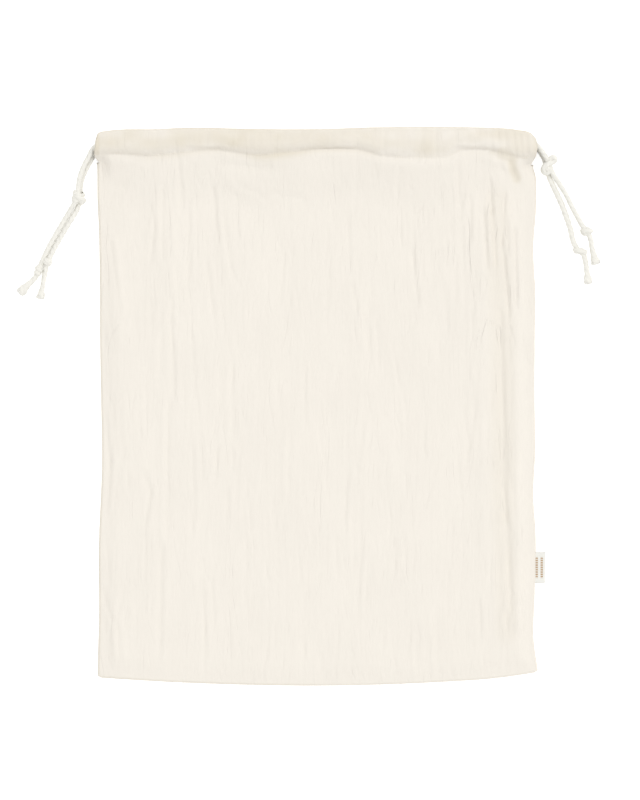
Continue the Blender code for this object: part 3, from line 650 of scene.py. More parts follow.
def patchy(x, y, wide, tall, seed):
    """Soft seeded ups and downs from -1 to 1, so wide and so tall."""
    chance = np.random.default_rng(seed)
    u, v = (x + FIELD) / wide, (y + FIELD) / tall
    knots = chance.uniform(-1, 1, (int(2 * FIELD / wide) + 3, int(2 * FIELD / tall) + 3))
    i, j = np.floor(u).astype(int), np.floor(v).astype(int)
    s, t = soft_step(u - i, 0, 1), soft_step(v - j, 0, 1)
    low = knots[i, j] * (1 - s) + knots[i + 1, j] * s
    high = knots[i, j + 1] * (1 - s) + knots[i + 1, j + 1] * s
    return low * (1 - t) + high * t


def patches(x, y, table):
    return sum(amount * patchy(x, y, wide, tall, seed) for amount, wide, tall, seed in table)


def crinkle_height(x, y):
    """The gauze's crinkle: fine streaks up and down the bag over broader ones."""
    drift = x + patches(x, y, CRINKLE_DRIFT) + CRINKLE_LEAN * y
    strength = CRINKLE_USUAL + patches(x, y, CRINKLE_STRENGTH)
    corners = 1 + CORNER_CRINKLE * soft_step(np.abs(x), *CORNERS_OUT) * soft_step(y, *CORNERS_UP)
    return strength * patches(drift, y, FINE_CRINKLE) + corners * patches(drift, y, BROAD_CRINKLE)


def side_points(share, to_top):
    """X of the bag's left and right edge, at a share of the way up to the stitch line, or from there up."""
    low, high = (STITCH_LINE, TOP_EDGE) if to_top else (BOTTOM_EDGE, STITCH_LINE)
    edges = []
    for table, x in ((LEFT_EDGE, -SIDE), (RIGHT_EDGE, SIDE)):
        y = along(low, x) * (1 - share) + along(high, x) * share
        edges.append(float(along(table, y)))
    return edges


def body_row(share, columns):
    """Plan of one row of a panel below its casing: its X and Y."""
    left, right = side_points(share, False)
    inset = (EDGE_ROLL + PANEL_CLOTH / 2) * (1 - soft_step(share, SIDE_OPEN_FROM, 1))
    x = left + inset + (right - left - 2 * inset) * columns
    bottom = along(BOTTOM_EDGE, x) + EDGE_ROLL + PANEL_CLOTH / 2
    return x, bottom * (1 - share) + along(STITCH_LINE, x) * share


def in_from_edges(x, y):
    return np.minimum(np.minimum(x - x[0], x[-1] - x), y - along(BOTTOM_EDGE, x) - EDGE_ROLL)


def front_height(x, y, share, fold_depth):
    """Middle of the front panel over one row, before its creases."""
    edge = BACK_HEIGHT + 2 * EDGE_ROLL
    stitch = along(STITCH_LINE, x)
    sewn = hem_height(x) + PANEL_CLOTH + CASING_SECTION[0][1]
    full = LOFT + (sewn - LOFT) * soft_step(y, stitch - THROAT, stitch)
    full += fold_depth * added_along(FOLDS, x, y) * (1 - soft_step(y, stitch - SEWN_FLAT, stitch))
    slope = EDGE_SLOPE + CORNER_SLOPE * soft_step(share, *CORNER_SLOPE_SHARES)
    inward = in_from_edges(x, y)
    lifted = soft_step(share, MOUTH_RISE_FROM, 1) * soft_step(inward, 0, MOUTH_RISE_EDGE)
    held_up = np.maximum(np.maximum(soft_step(inward, 0, slope), lifted), soft_step(share, SIDE_OPEN_FROM, 1))
    return edge + (full - edge) * held_up


def casing_rows():
    """Rows of a casing, from the stitch line over the top and down inside: (share, outer, lift, inset)."""
    clear = np.array(CASING_SECTION)
    last = clear[-1][0]
    shares = np.linspace(0, last, CASING_STEPS + 1) ** CASING_CLOSER / last ** (CASING_CLOSER - 1)
    lifts = smooth_through(clear[:, 0], clear[:, 1] + PANEL_CLOTH, shares)
    rows = [(share, 1.0, lift, 0.0) for share, lift in zip(shares[1:], lifts[1:])]
    for angle in np.linspace(0, math.pi, TURN_STEPS + 2)[1:-1]:
        outer = (1 + math.cos(angle)) / 2
        rows.append((last + (1 - last) * math.sin(angle), outer, lifts[-1], HEM_SHORT * (1 - outer)))
    inside = list(zip(shares, lifts))[::-2]
    return rows + [(share, 0.0, lift, HEM_SHORT) for share, lift in inside]


def casing_row(share, inset, columns):
    left, right = side_points(share, True)
    x = left + inset + (right - left - 2 * inset) * columns
    top = along(TOP_EDGE, x) - PANEL_CLOTH / 2
    return x, along(STITCH_LINE, x) * (1 - share) + top * share


def front_rows(columns, shares, cloth):
    """Rows of points of the front panel, with its creases and crinkle."""
    rows = []
    scattered = scattered_creases()
    for share in shares:
        x, y = body_row(share, columns)
        z = front_height(x, y, share, cloth.fold_depth)
        below = along(STITCH_LINE, x) - y
        puff = PUFF * (1 + patches(x, 0 * x, PUFF_UNEVEN)) * soft_step(below, *PUFF_START)
        z = z + puff * np.exp(-(((below - PUFF_BELOW) / PUFF_WIDE) ** 2))
        free = soft_step(in_from_edges(x, y), *EDGE_FREE) * soft_step(below, *STITCH_FREE)
        pressed = crease_height(x, y, CREASES) + crease_height(x, y, scattered)
        z = z + free * (cloth.crease_depth * pressed + cloth.crinkle_depth * crinkle_height(x, y))
        rows.append(np.stack([x, y, z], axis=1))
    for share, outer, lift, inset in casing_rows():
        x, y = casing_row(share, inset, columns)
        if outer == 1:
            quick = SWELL_QUICK + patches(x, 0 * x, SWELL_UNEVEN)
            lift = PANEL_CLOTH + along(CASING_SECTION, share * quick)
            lift = np.maximum(lift, over_cords(x, y))
        swell = along(CASING_SWELL, x) * math.sin(math.pi * min(1, share))
        z = hem_height(x) + outer * (lift + swell)
        z = z + outer * cloth.crinkle_depth * casing_puckers(x, share)
        rows.append(np.stack([x, y, z], axis=1))
    return rows


def over_cords(x, y):
    """Lowest that the front casing's outer layer can pass over the two cords in it."""
    room = PRESSED * CORD / 2 + CLEAR_OF_CORD
    middle = PANEL_CLOTH / 2 + LAY + PRESSED * CORD / 2
    lowest = np.zeros_like(x)
    for lane in (LOWER_LANE, UPPER_LANE):
        off = (y - along(lane, x)) / room
        lowest = np.maximum(lowest, middle + room * (1 - OFF_CORD * off**2))
    return lowest


def casing_puckers(x, share):
    """Short puckers that run up the casing from its stitches, closest where it is most gathered."""
    usual, right, left = GATHERED_ENDS
    gathered = usual + right * soft_step(x, *GATHERED_RIGHT) + left * soft_step(-x, *GATHERED_LEFT)
    level = PUCKER_LEVELS * share + 0 * x
    fine = sum(patchy(x + lean * share, level, *patch) for lean, *patch in FINE_PUCKERS)
    broad = patches(x, level, BROAD_PUCKERS)
    pinched = 0 * x
    for low_x, high_x, half_width, depth in CASING_CREASES:
        away = (x - low_x * (1 - share) - high_x * share) / half_width
        pinched = pinched + depth * np.exp(-(away**2))
    height = PUCKER * gathered * fine * (1 - PUCKER_FADE * share) + broad - pinched
    return height * soft_step(share, *PUCKER_START)


def back_rows(columns, shares, cloth):
    """Rows of points of the back panel, which lies on the floor."""
    rows = []
    for share in shares:
        x, y = body_row(share, columns)
        rows.append(np.stack([x, y, BACK_HEIGHT + patches(x, y, BACK_UNEVEN)], axis=1))
    for share, outer, lift, inset in casing_rows():
        x, y = casing_row(share, inset, columns)
        pucker = cloth.crinkle_depth * 0.5 * casing_puckers(x, share) * (1 - outer)
        rows.append(np.stack([x, y, BACK_HEIGHT + (1 - outer) * lift + pucker], axis=1))
    return rows


def cloth_layers_and_shade(points, seam_start, front):
    """How much cloth lies behind each point, 0 for a single panel and about 1 for a casing, together with
    painted light and shade in the same measure: in bands up the casing, along its top edge, at its ends,
    along the seams, just under the stitches, in the tuck and along the long fold.
    """
    x, y = points[:, 0], points[:, 1]
    stitch, top = along(STITCH_LINE, x), along(TOP_EDGE, x)
    on_casing = soft_step(y - stitch, *AT_STITCHES)
    # Cloth seen through a casing, with painted light and shade in bands up it and its tone along it
    seen_and_painted = CASING_SEEN + along(CASING_LIGHT_AND_SHADE, np.clip(y - stitch, 0, 20)) + along(CASING_ACROSS, x)
    casing = on_casing * np.maximum(seen_and_painted + patches(x, y, MOTTLE), 0)
    # Turnings showing through under the stitches, with painted shade there
    turnings_and_shade = along(TURNINGS_AND_SHADE, x)
    below = np.maximum(stitch - y, 0) / (TURNING_REACH[0] + TURNING_REACH[1] * turnings_and_shade)
    casing += (1 - on_casing) * turnings_and_shade * np.exp(-(below**2))
    # Painted shade along the casing's top edge
    casing += TOP_PAINTED_SHADE * soft_step(y - top, *TOP_BAND)
    # Painted shade at the casing's open ends, more at the left
    for tone, across, band in zip(END_PAINTED_SHADES, (-x, x), (LEFT_BAND, RIGHT_BAND)):
        casing += on_casing * tone * soft_step(across, *band)
    # The turned edges along the seams lie double, and carry painted shade, more on the left
    seam = np.zeros(len(points))
    seam[seam_start:] = np.where(x[seam_start:] < 0, *SEAM_LAYERS_AND_SHADE)
    share = np.maximum(casing, seam)
    # Doubled cloth and painted shade in the tuck, and painted shade along the long fold, on the front panel
    for *line, half_width, amount in DOUBLED_AND_FOLD_SHADE if front else ():
        away, _ = away_from(line, x, y)
        share = np.maximum(share, amount * np.exp(-((away / half_width) ** 4)))
    return share


def turned_edge(rows, seam_row, toward):
    """Strips that carry a panel's sewn edge round towards the other panel: lists of points along the edge."""
    left = [rows[i][0] for i in range(seam_row, 0, -1)]
    right = [rows[i][-1] for i in range(1, seam_row + 1)]
    edge = np.array([*left, *rows[0], *right])
    ahead = np.concatenate([edge[1:], edge[-1:]]) - np.concatenate([edge[:1], edge[:-1]])
    outward = np.stack([ahead[:, 1], -ahead[:, 0], np.zeros(len(edge))], axis=1)
    outward /= np.linalg.norm(outward, axis=1)[:, None]
    strips = []
    for angle in np.linspace(0, math.pi / 2, ROLL_STEPS + 1)[1:]:
        rise = toward * (EDGE_ROLL - SEAM_PLAY) * (1 - math.cos(angle))
        strips.append(edge + outward * EDGE_ROLL * math.sin(angle) + (0, 0, rise))
    return strips


def make_panel(name, node, front, cloth):
    """A panel of muslin: a fine grid with its turned-in casing, its sewn edges and its thickness."""
    across, up = FRONT_GRID if front else BACK_GRID
    shares = 1 - (1 - np.linspace(0, 1, up + 1)) ** ROWS_CLOSER
    seam_row = int(np.argmin(np.abs(shares - SIDE_OPEN_FROM)))
    rows = (front_rows if front else back_rows)(np.linspace(0, 1, across + 1), shares, cloth)
    strips = turned_edge(rows, seam_row, -1 if front else 1)
    points = np.concatenate([*rows, *strips])
    wide = across + 1
    grid = grid_faces(len(rows), wide)
    inner = [i * wide for i in range(seam_row, 0, -1)] + list(range(wide))
    inner += [i * wide + wide - 1 for i in range(1, seam_row + 1)]
    seam_start = len(rows) * wide
    for start in range(seam_start, len(points), len(inner)):
        outer = list(range(start, start + len(inner)))
        grid += list(zip(outer, outer[1:], inner[1:], inner))
        inner = outer
    if not front:
        points[:, 2] = np.maximum(points[:, 2], cloth.thickness / MM / 2)
    panel = new_piece(name, points, grid)
    gathered = 1 + added_along(GATHERED, points[:, 0], points[:, 1])  # how strong the fine creases are
    # The first attribute holds how much cloth lies behind each point, together with painted shade
    for label, values in (("layers", cloth_layers_and_shade(points, seam_start, front)), ("gathered", gathered)):
        attribute = panel.data.attributes.new(label, "FLOAT", "POINT")
        attribute.data.foreach_set("value", values.astype(np.float32))
    give_thickness(panel, cloth.thickness)
    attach(panel, "root")
    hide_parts(node)
    return panel


# ---------------------------------------------------------------- form of the drawstrings


def held_run(lane, side):
    """A cord's route in the casings: in at the front on its side (-1 or 1), round the far end and back."""
    front_z = PANEL_CLOTH / 2 + LAY + CORD / 2
    back_z = BACK_HEIGHT + PANEL_CLOTH / 2 + LAY + CORD / 2
    near, far = (lane[0][0], lane[-1][0]) if side < 0 else (lane[-1][0], lane[0][0])
    lane_y = float(along(lane, far))
    edge = float(along(LEFT_EDGE if side > 0 else RIGHT_EDGE, lane_y))
    radius = (float(hem_height(far)) + front_z - back_z) / 2
    turn_x = edge + side * (BIGHT_REACH + radius)
    straight = np.linspace(near - side * LEAD, turn_x + side * 2 * LEAD, LANE_POINTS)
    front, back = [], []
    for x in (near, *straight, turn_x + side * LEAD, turn_x):
        y, z = float(along(lane, x)), float(hem_height(x)) + front_z
        share = PRESSED if abs(x) < PRESSED_WITHIN else 1.0
        front.append((x, y, z - (1 - share) * CORD / 2, share))
        back.insert(0, (x, y, back_z, 1.0))
    bight = [
        (turn_x - side * radius * math.cos(a), lane_y, back_z + radius * (1 + math.sin(a)), 1.0)
        for a in map(math.radians, BIGHT_ANGLES)
    ]
    return front + bight + back


def frames_along(points):
    """For each point of a line, two directions across it that don't turn round it."""
    ahead = np.gradient(points, axis=0)
    ahead /= np.linalg.norm(ahead, axis=1)[:, None]
    side = np.cross(ahead[0], (0, 0, 1.0))
    sides = []
    for direction in ahead:
        side = side - direction * np.dot(side, direction)
        side = side / np.linalg.norm(side)
        sides.append(side)
    sides = np.array(sides)
    return sides, np.cross(sides, ahead)


def rope_rings(points, cords, around, start=0.0, loose=0.0):
    """Rings of points round a twisted cord, whose strands have come apart as far as loose says."""
    places, thickness = points[:, :3], points[:, 3:]
    sides, ups = frames_along(places)
    turned = 2 * math.pi * (stations_along(places) + start) / (cords.lay / MM)
    angles = np.linspace(0, 2 * math.pi, around, endpoint=False)
    lobe = np.abs(np.cos(STRANDS / 2 * (angles[None, :] - turned[:, None])))
    loose = (np.zeros(len(places)) + loose)[:, None]
    groove = cords.groove + (LOOSE_GROOVE - cords.groove) * loose
    radius = cords.diameter / MM / 2 * thickness * (1 - groove * (1 - lobe) ** STRAND_ROUND)
    wide = radius * (1 + LOOSE_SPREAD * loose) * np.cos(angles)[None, :]
    high = radius * (1 - LOOSE_SPREAD * loose) * np.sin(angles)[None, :]
    return places[:, None, :] + wide[..., None] * sides[:, None, :] + high[..., None] * ups[:, None, :]


def tube_piece(name, rings):
    """A closed tube through rings of points, with a slightly domed cap at each end."""
    count, around, _ = rings.shape
    first, last = count * around, count * around + 1
    base = (count - 1) * around
    middles = rings.mean(axis=1)
    caps = [middles[end] + (middles[end] - middles[inner]) * 0.5 for end, inner in ((0, 1), (-1, -2))]
    faces = tube_faces(count, around)
    faces += [(k, first, (k + 1) % around) for k in range(around)]
    faces += [(base + k, base + (k + 1) % around, last) for k in range(around)]
    return new_piece(name, np.concatenate([rings.reshape(-1, 3), caps]), faces)


def dress_cord(piece):
    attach(piece, "root")
    return piece


def make_knot(knot, cords):
    """A drawn-tight knot: the cord's turns wound over the cord that runs through it."""
    name, x, y, z, length, width, height, turn, turns, thick = knot
    angle = math.radians(turn)
    forward = np.array([math.cos(angle), math.sin(angle), 0])
    beside = np.array([-math.sin(angle), math.cos(angle), 0])
    above = np.array([0, 0, 1.0])
    across, lift = (width - thick) / 2, (height - thick) / 2
    travel = max(1.0, length - thick - KNOT_SLANT * across)
    share = np.linspace(0, 1, KNOT_STEPS)
    out = soft_step(share, 0, KNOT_OPENS) * (1 - soft_step(share, 1 - KNOT_OPENS, 1))
    turned = 2 * math.pi * turns * (share - 0.5) + KNOT_START
    over = out * across * np.sin(turned)
    ahead = (share - 0.5) * travel + KNOT_SLANT * over
    up = out * lift * np.cos(turned)
    line = np.array([x, y, z]) + ahead[:, None] * forward + over[:, None] * beside + up[:, None] * above
    points = np.concatenate([line, np.full((len(line), 1), thick / CORD)], axis=1)
    points[:, 2] = np.maximum(points[:, 2], thick / 2)
    return dress_cord(tube_piece(name, rope_rings(points, cords, END_SIDES)))


def make_pair_knot(name, route, cords):
    """Two cords tied as one along a route through the knot, one lying on the other."""
    wound = []
    for number in range(2):
        strand = spaced(route, PAIR_STEP)
        strand[:, 2] = np.maximum(strand[:, 2] - number * PAIR_DROP, CORD / 2 * strand[:, 3])
        wound.append(tube_piece(f"{name}_{number}", rope_rings(strand, cords, PAIR_SIDES)))
    return dress_cord(join_pieces(name, wound))


def frayed_tip(name, points, seed):
    """Loose fibres at the cut end of a cord, each a thin tapered hair."""
    chance = np.random.default_rng(seed)
    tip, before = points[-1, :3], points[-6, :3]
    forward = (tip - before) / np.linalg.norm(tip - before)
    beside = np.cross(forward, (0, 0, 1.0))
    beside /= np.linalg.norm(beside)
    above = np.cross(beside, forward)
    radius = CORD / 2 * points[-1, 3]
    places, faces = [], []
    for _ in range(FIBRES):
        out, around = math.sqrt(chance.random()), chance.uniform(0, 2 * math.pi)
        spread = (1 + LOOSE_SPREAD) * math.cos(around) * beside
        spread += (1 - LOOSE_SPREAD) * math.sin(around) * above
        root = tip - forward * FIBRE_ROOT + spread * radius * out * FIBRES_WITHIN
        length = chance.uniform(*FIBRE_LENGTHS) * (1 - FIBRE_SPLAY * out)
        bend = chance.normal(0, FIBRE_BEND, 3)
        lean = forward + spread * out * FIBRE_SPLAY
        base = len(places)
        for share in (0, 0.5, 1):
            middle = root + lean * length * share + bend * share**2
            middle[2] = max(middle[2], FIBRE)
            for spin in FIBRE_SPINS:
                ring = math.cos(spin) * beside + math.sin(spin) * above
                places.append(middle + ring * FIBRE * (1 - FIBRE_TAPER * share))
        faces += tube_faces(3, 3, base) + [(base + 2, base + 1, base), (base + 6, base + 7, base + 8)]
    return dress_cord(new_piece(name, places, faces))


def make_drawstring(side, front_end, lane, back_end, knots, cords):
    """A whole drawstring: a free end, the run through both casings and the other free end, with its knots."""
    word = "left" if side < 0 else "right"
    node = f"drawstring_{word}"
    held = held_run(lane, side)
    run = spaced(held, RUN_STEP)
    middle = tube_piece(f"{node}_run", rope_rings(run, cords, RUN_SIDES))
    pieces = [dress_cord(middle)]
    wound = [make_knot(knot, cords) for knot in knots]
    if side > 0:
        wound.append(make_pair_knot("right_pair_knot", RIGHT_PAIR_KNOT, cords))
    for place, first, end, start, seed in (
        ("front", held[0], front_end, 0.0, 3), ("back", held[-1], back_end, stations_along(run)[-1], 5),
    ):
        points = spaced([first, *end], END_STEP)
        lengths = stations_along(points)
        loose = soft_step(lengths, lengths[-1] - LOOSE_LENGTH, lengths[-1])
        rings = rope_rings(points, cords, END_SIDES, start, loose)
        last = rings[-1].mean(axis=0)
        ahead = last - rings[-3].mean(axis=0)
        ahead /= np.linalg.norm(ahead)
        dome = [last + (rings[-1] - last) * scale + ahead * far for far, scale in TIP_DOME]
        cord = tube_piece(f"{node}_{place}_end", np.concatenate([rings, dome]))
        tip = frayed_tip(f"{word}_{place}_fray", points, seed)
        pieces += [dress_cord(cord), tip]
    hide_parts(node)
    return pieces + wound


# ---------------------------------------------------------------- sewing and the ribbon


def needle_places(front, cloth):
    """Where the needle went through a casing, one stitch apart."""
    x = np.linspace(*SEWN, SEWN_POINTS)
    half = cloth.thickness / MM / 2
    z = hem_height(x) + PANEL_CLOTH + CASING_SECTION[0][1] + half if front else 0 * x + BACK_HEIGHT - half
    line = np.stack([x, along(STITCH_LINE, x), z], axis=1)
    stations = stations_along(line)
    count = int(stations[-1] / (cloth.stitch / MM))
    return smooth_through(stations, line, np.linspace(SEWN_SHORT, stations[-1] - SEWN_SHORT, count + 1))


def make_stitches(name, front, cloth):
    """The line of stitches that holds a casing down, and the small holes that its needle left."""
    ends, up = needle_places(front, cloth), 1 if front else -1
    spins = [2 * math.pi * k / STITCH_SIDES for k in range(STITCH_SIDES)]
    first_share, last_share = STITCH_SHARES[0], STITCH_SHARES[-1]
    places, faces, hole_places, hole_faces = [], [], [], []
    chance = np.random.default_rng(12)
    for start, end in zip(ends[:-1], ends[1:]):
        run = end - start
        beside = np.array([-run[1], run[0], 0]) / math.hypot(run[0], run[1])
        sway = beside * chance.normal(0, STITCH_SWAY)
        base, hole = len(places), len(hole_places)
        for share in STITCH_SHARES:
            arch = math.sin(math.pi * (share - first_share) / (last_share - first_share))
            thick = THREAD * (THREAD_ENDS + (1 - THREAD_ENDS) * arch)
            middle = start + run * share + sway + np.array([0, 0, up * (THREAD_ARCH * arch - THREAD_SUNK)])
            places += [
                middle + beside * thick * math.cos(spin) + np.array([0, 0, thick * math.sin(spin)])
                for spin in spins
            ]
        faces += tube_faces(len(STITCH_SHARES), STITCH_SIDES, base)
        last = base + STITCH_SIDES * (len(STITCH_SHARES) - 1)
        faces += [tuple(range(base, base + STITCH_SIDES))[::-1], tuple(range(last, last + STITCH_SIDES))]
        wide = PULLED_HOLE if any(low < start[0] < high for low, high in PULLED) else NEEDLE_HOLE
        hole_places += [
            start + sway + np.array([math.cos(spin) * wide, math.sin(spin) * wide * HOLE_TALL, up * HOLE_LIP])
            for spin in spins
        ]
        hole_places.append(start + sway + np.array([0, 0, -up * HOLE_DEPTH]))
        point = hole + STITCH_SIDES
        hole_faces += [(hole + k, hole + (k + 1) % STITCH_SIDES, point) for k in range(STITCH_SIDES)]
    if not front:
        for place in places + hole_places:
            place[2] = max(place[2], OFF_FLOOR)
    made = new_piece(name, places, faces), new_piece(f"{name}_holes", hole_places, hole_faces)
    for piece in made:
        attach(piece, "root")
    return made


def make_ribbon(ribbon):
    """The ribbon folded in two, with both ends sewn into the right side seam."""
    half, seam_height = RIBBON_APART / 2, BACK_HEIGHT + EDGE_ROLL
    fall = RIBBON_LOW + half - seam_height
    reach = ribbon.width / MM - RIBBON_TURN
    wave, turn_up, turn_across = RIBBON_WAVE
    straight = np.linspace(*RIBBON_STRAIGHT, RIBBON_POINTS)
    last = straight[-1]
    section = [(share, 1.0) for share in straight]
    turns = np.linspace(0, math.pi, FOLD_POINTS)[1:-1]
    section += [(last + (1 - last) * math.sin(turn), math.cos(turn)) for turn in turns]
    section += [(share, -1.0) for share in straight[::-1]]
    points = []
    for y in np.linspace(RIBBON_BOTTOM, RIBBON_TOP, RIBBON_ROWS):
        seam = float(along(RIGHT_EDGE, y)) + RIBBON_GAP
        for share, side in section:
            low = float(soft_step(share, *RIBBON_FALL))
            rise = fall * low + side * half + share * wave * math.sin(y * turn_up + share * turn_across)
            points.append((seam + share * reach, y, seam_height + rise))
    points = np.array(points)
    points[:, 2] = np.maximum(points[:, 2], RIBBON_CLOTH / 2)
    piece = new_piece("side_ribbon", points, grid_faces(RIBBON_ROWS, len(section)))
    give_thickness(piece, RIBBON_CLOTH * MM)
    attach(piece, "root")
    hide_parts("side_label")
    return piece


# ---------------------------------------------------------------- looks


COLUMN_OF_NODES = 6  # nodes in a column of the shader editor
FIRST_NODE, NODE_ACROSS, NODE_DOWN = (-1300, 300), 220, 180


def add_node(tree, kind, inputs=None, **settings):
    """A node with its settings, and each named input set to a value or linked from a socket."""
    made = tree.nodes.new(kind)
    column, row = divmod(len(tree.nodes), COLUMN_OF_NODES)
    made.location = (FIRST_NODE[0] + NODE_ACROSS * column, FIRST_NODE[1] - NODE_DOWN * row)
    for key, value in settings.items():
        setattr(made, key, value)
    for key, value in (inputs or {}).items():
        if isinstance(value, bpy.types.NodeSocket):
            tree.links.new(value, made.inputs[key])
        else:
            made.inputs[key].default_value = value
    return made


def calc(tree, operation, first, second=0.0):
    """What a maths node makes of sockets or numbers."""
    return add_node(tree, "ShaderNodeMath", {0: first, 1: second}, operation=operation).outputs[0]


def places_on(tree, per_metre=None):
    """Places on a piece, in metres or so many to the metre."""
    place = add_node(tree, "ShaderNodeTexCoord").outputs["Object"]
    if per_metre is None:
        return place
    return add_node(tree, "ShaderNodeVectorMath", {0: place, 1: per_metre}, operation="MULTIPLY").outputs[0]


def noise(tree, place, scale, detail, roughness, distortion=0.0):
    inputs = {"Vector": place, "Scale": scale, "Detail": detail, "Roughness": roughness}
    return add_node(tree, "ShaderNodeTexNoise", inputs | {"Distortion": distortion}).outputs["Fac"]


def smooth_range(tree, value, low, high, at_low=0.0, at_high=1.0):
    """A value eased from at_low to at_high where it goes from low to high."""
    inputs = {"Value": value, "From Min": low, "From Max": high, "To Min": at_low, "To Max": at_high}
    return add_node(tree, "ShaderNodeMapRange", inputs, interpolation_type="SMOOTHSTEP").outputs[0]


def bump(tree, height, strength, depth, under=None, invert=False):
    """Normals with a height on them, over other normals if there are any."""
    inputs = {"Height": height, "Strength": strength, "Distance": depth}
    if under:
        inputs["Normal"] = under
    return add_node(tree, "ShaderNodeBump", inputs, invert=invert).outputs[0]


def gauze_weave(tree, inputs):
    """Crossed threads, a little uneven: their height, and the small gaps between them."""
    bands = {
        "Vector": places_on(tree), "Scale": calc(tree, "DIVIDE", WAVE_PITCH, inputs["Pitch"]),
        "Distortion": inputs["Unevenness"], "Detail": 1.0, "Detail Scale": 0.35,
    }
    waves = [
        add_node(tree, "ShaderNodeTexWave", bands, wave_type="BANDS", bands_direction=axis).outputs["Fac"]
        for axis in "XY"
    ]
    over = calc(tree, "MAXIMUM", *waves)
    return calc(tree, "ADD", over, calc(tree, "MULTIPLY", *waves)), calc(tree, "SUBTRACT", 1.0, over)


def cotton_drift(tree, inputs):
    """A colour that wanders a little in tone over the surface, as undyed cotton does."""
    place, scale = places_on(tree), calc(tree, "DIVIDE", 1.0, inputs["Size"])
    patch = noise(tree, place, scale, detail=3.0, roughness=0.55)
    drift = calc(tree, "MULTIPLY", calc(tree, "SUBTRACT", patch, 0.5), inputs["Amount"])
    tone = calc(tree, "ADD", calc(tree, "SUBTRACT", drift, inputs["Dark"]), 1.0)
    scaled = {0: inputs["Color"], "Scale": tone}
    return [add_node(tree, "ShaderNodeVectorMath", scaled, operation="SCALE").outputs[0]]


def fibre_streaks(tree, inputs):
    """Uneven streaks: long one way and narrow the other, for crinkle, slubs and fibres."""
    place = places_on(tree, inputs["Per Metre"])
    return [noise(tree, place, scale=1.0, detail=inputs["Detail"], roughness=0.6, distortion=0.4)]


def crinkle_lines(tree, inputs):
    """Thin broken lines that wander up and down the cloth, where the gauze has creased."""
    place = places_on(tree, inputs["Per Metre"])
    ups = noise(tree, place, scale=1.0, detail=2.0, roughness=0.45, distortion=0.5)
    away = calc(tree, "ABSOLUTE", calc(tree, "SUBTRACT", ups, 0.5))
    line = smooth_range(tree, away, 0.0, inputs["Width"], 1.0, 0.0)
    softness = 0.07
    lowest, highest = (calc(tree, sign, inputs["Broken"], softness) for sign in ("SUBTRACT", "ADD"))
    patches = noise(tree, places_on(tree), scale=42.0, detail=1.0, roughness=0.5)
    shown = smooth_range(tree, patches, lowest, highest)
    return [calc(tree, "MULTIPLY", line, shown)]


# Shader groups: how each is built, what it takes and what it gives
SHADER_GROUPS = {
    "Gauze weave": (
        gauze_weave, (("Pitch", "Float", 0.0008), ("Unevenness", "Float", 2.0)),
        (("Height", "Float"), ("Gaps", "Float")),
    ),
    "Cotton drift": (
        cotton_drift,
        (("Color", "Color", (0.8, 0.75, 0.67, 1)), ("Size", "Float", 0.03), ("Amount", "Float", 0.05),
         ("Dark", "Float", 0.0)),
        (("Color", "Color"),),
    ),
    "Fibre streaks": (
        fibre_streaks, (("Per Metre", "Vector", (250, 35, 200)), ("Detail", "Float", 2.0)),
        (("Height", "Float"),),
    ),
    "Crinkle lines": (
        crinkle_lines,
        (("Per Metre", "Vector", (95, 15, 60)), ("Width", "Float", 0.05), ("Broken", "Float", 0.5)),
        (("Height", "Float"),),
    ),
}


def grouped(tree, name, inputs):
    """The outputs of a shader group in this tree. The group is built when it is first used."""
    group = bpy.data.node_groups.get(name)
    if not group:
        build, takes, gives = SHADER_GROUPS[name]
        group = bpy.data.node_groups.new(name, "ShaderNodeTree")
        for label, kind, default in takes:
            socket = group.interface.new_socket(name=label, in_out="INPUT", socket_type=f"NodeSocket{kind}")
            socket.default_value = default
        for label, kind in gives:
            group.interface.new_socket(name=label, in_out="OUTPUT", socket_type=f"NodeSocket{kind}")
        made = build(group, add_node(group, "NodeGroupInput").outputs)
        add_node(group, "NodeGroupOutput", dict(enumerate(made)))
    return add_node(tree, "ShaderNodeGroup", inputs, node_tree=group).outputs


def drifting(tree, colour, size, amount, dark=0.0):
    """A colour that wanders in tone, in patches of this size."""
    inputs = {"Color": (*colour, 1), "Size": size, "Amount": amount, "Dark": dark}
    return grouped(tree, "Cotton drift", inputs)["Color"]


def mixed(tree, share, under, over, blend="MIX"):
    """A share of one colour over another."""
    inputs = {0: share, 6: under, 7: over}
    return add_node(tree, "ShaderNodeMix", inputs, data_type="RGBA", blend_type=blend).outputs[2]


def new_material(name, roughness, sheen=0.0):
    made = bpy.data.materials.new(name)
    made.use_nodes = True
    shader = made.node_tree.nodes["Principled BSDF"]
    for key, value in (
        ("Roughness", roughness), ("Metallic", 0.0), ("Specular IOR Level", 0.25), ("Sheen Weight", sheen),
        ("Sheen Roughness", 0.5),
    ):
        shader.inputs[key].default_value = value
    return made, made.node_tree, shader


def plain_material(name, colour, look):
    """A matt material that wanders in tone, with fibres where its look has them."""
    roughness, sheen, size, amount, fibres = look
    made, tree, shader = new_material(name, roughness, sheen)
    tree.links.new(drifting(tree, colour, size, amount), shader.inputs["Base Color"])
    if fibres:
        per_metre, detail, strength, depth = fibres
        streaks = grouped(tree, "Fibre streaks", {"Per Metre": per_metre, "Detail": detail})
        tree.links.new(bump(tree, streaks["Height"], strength, depth), shader.inputs["Normal"])
    return made


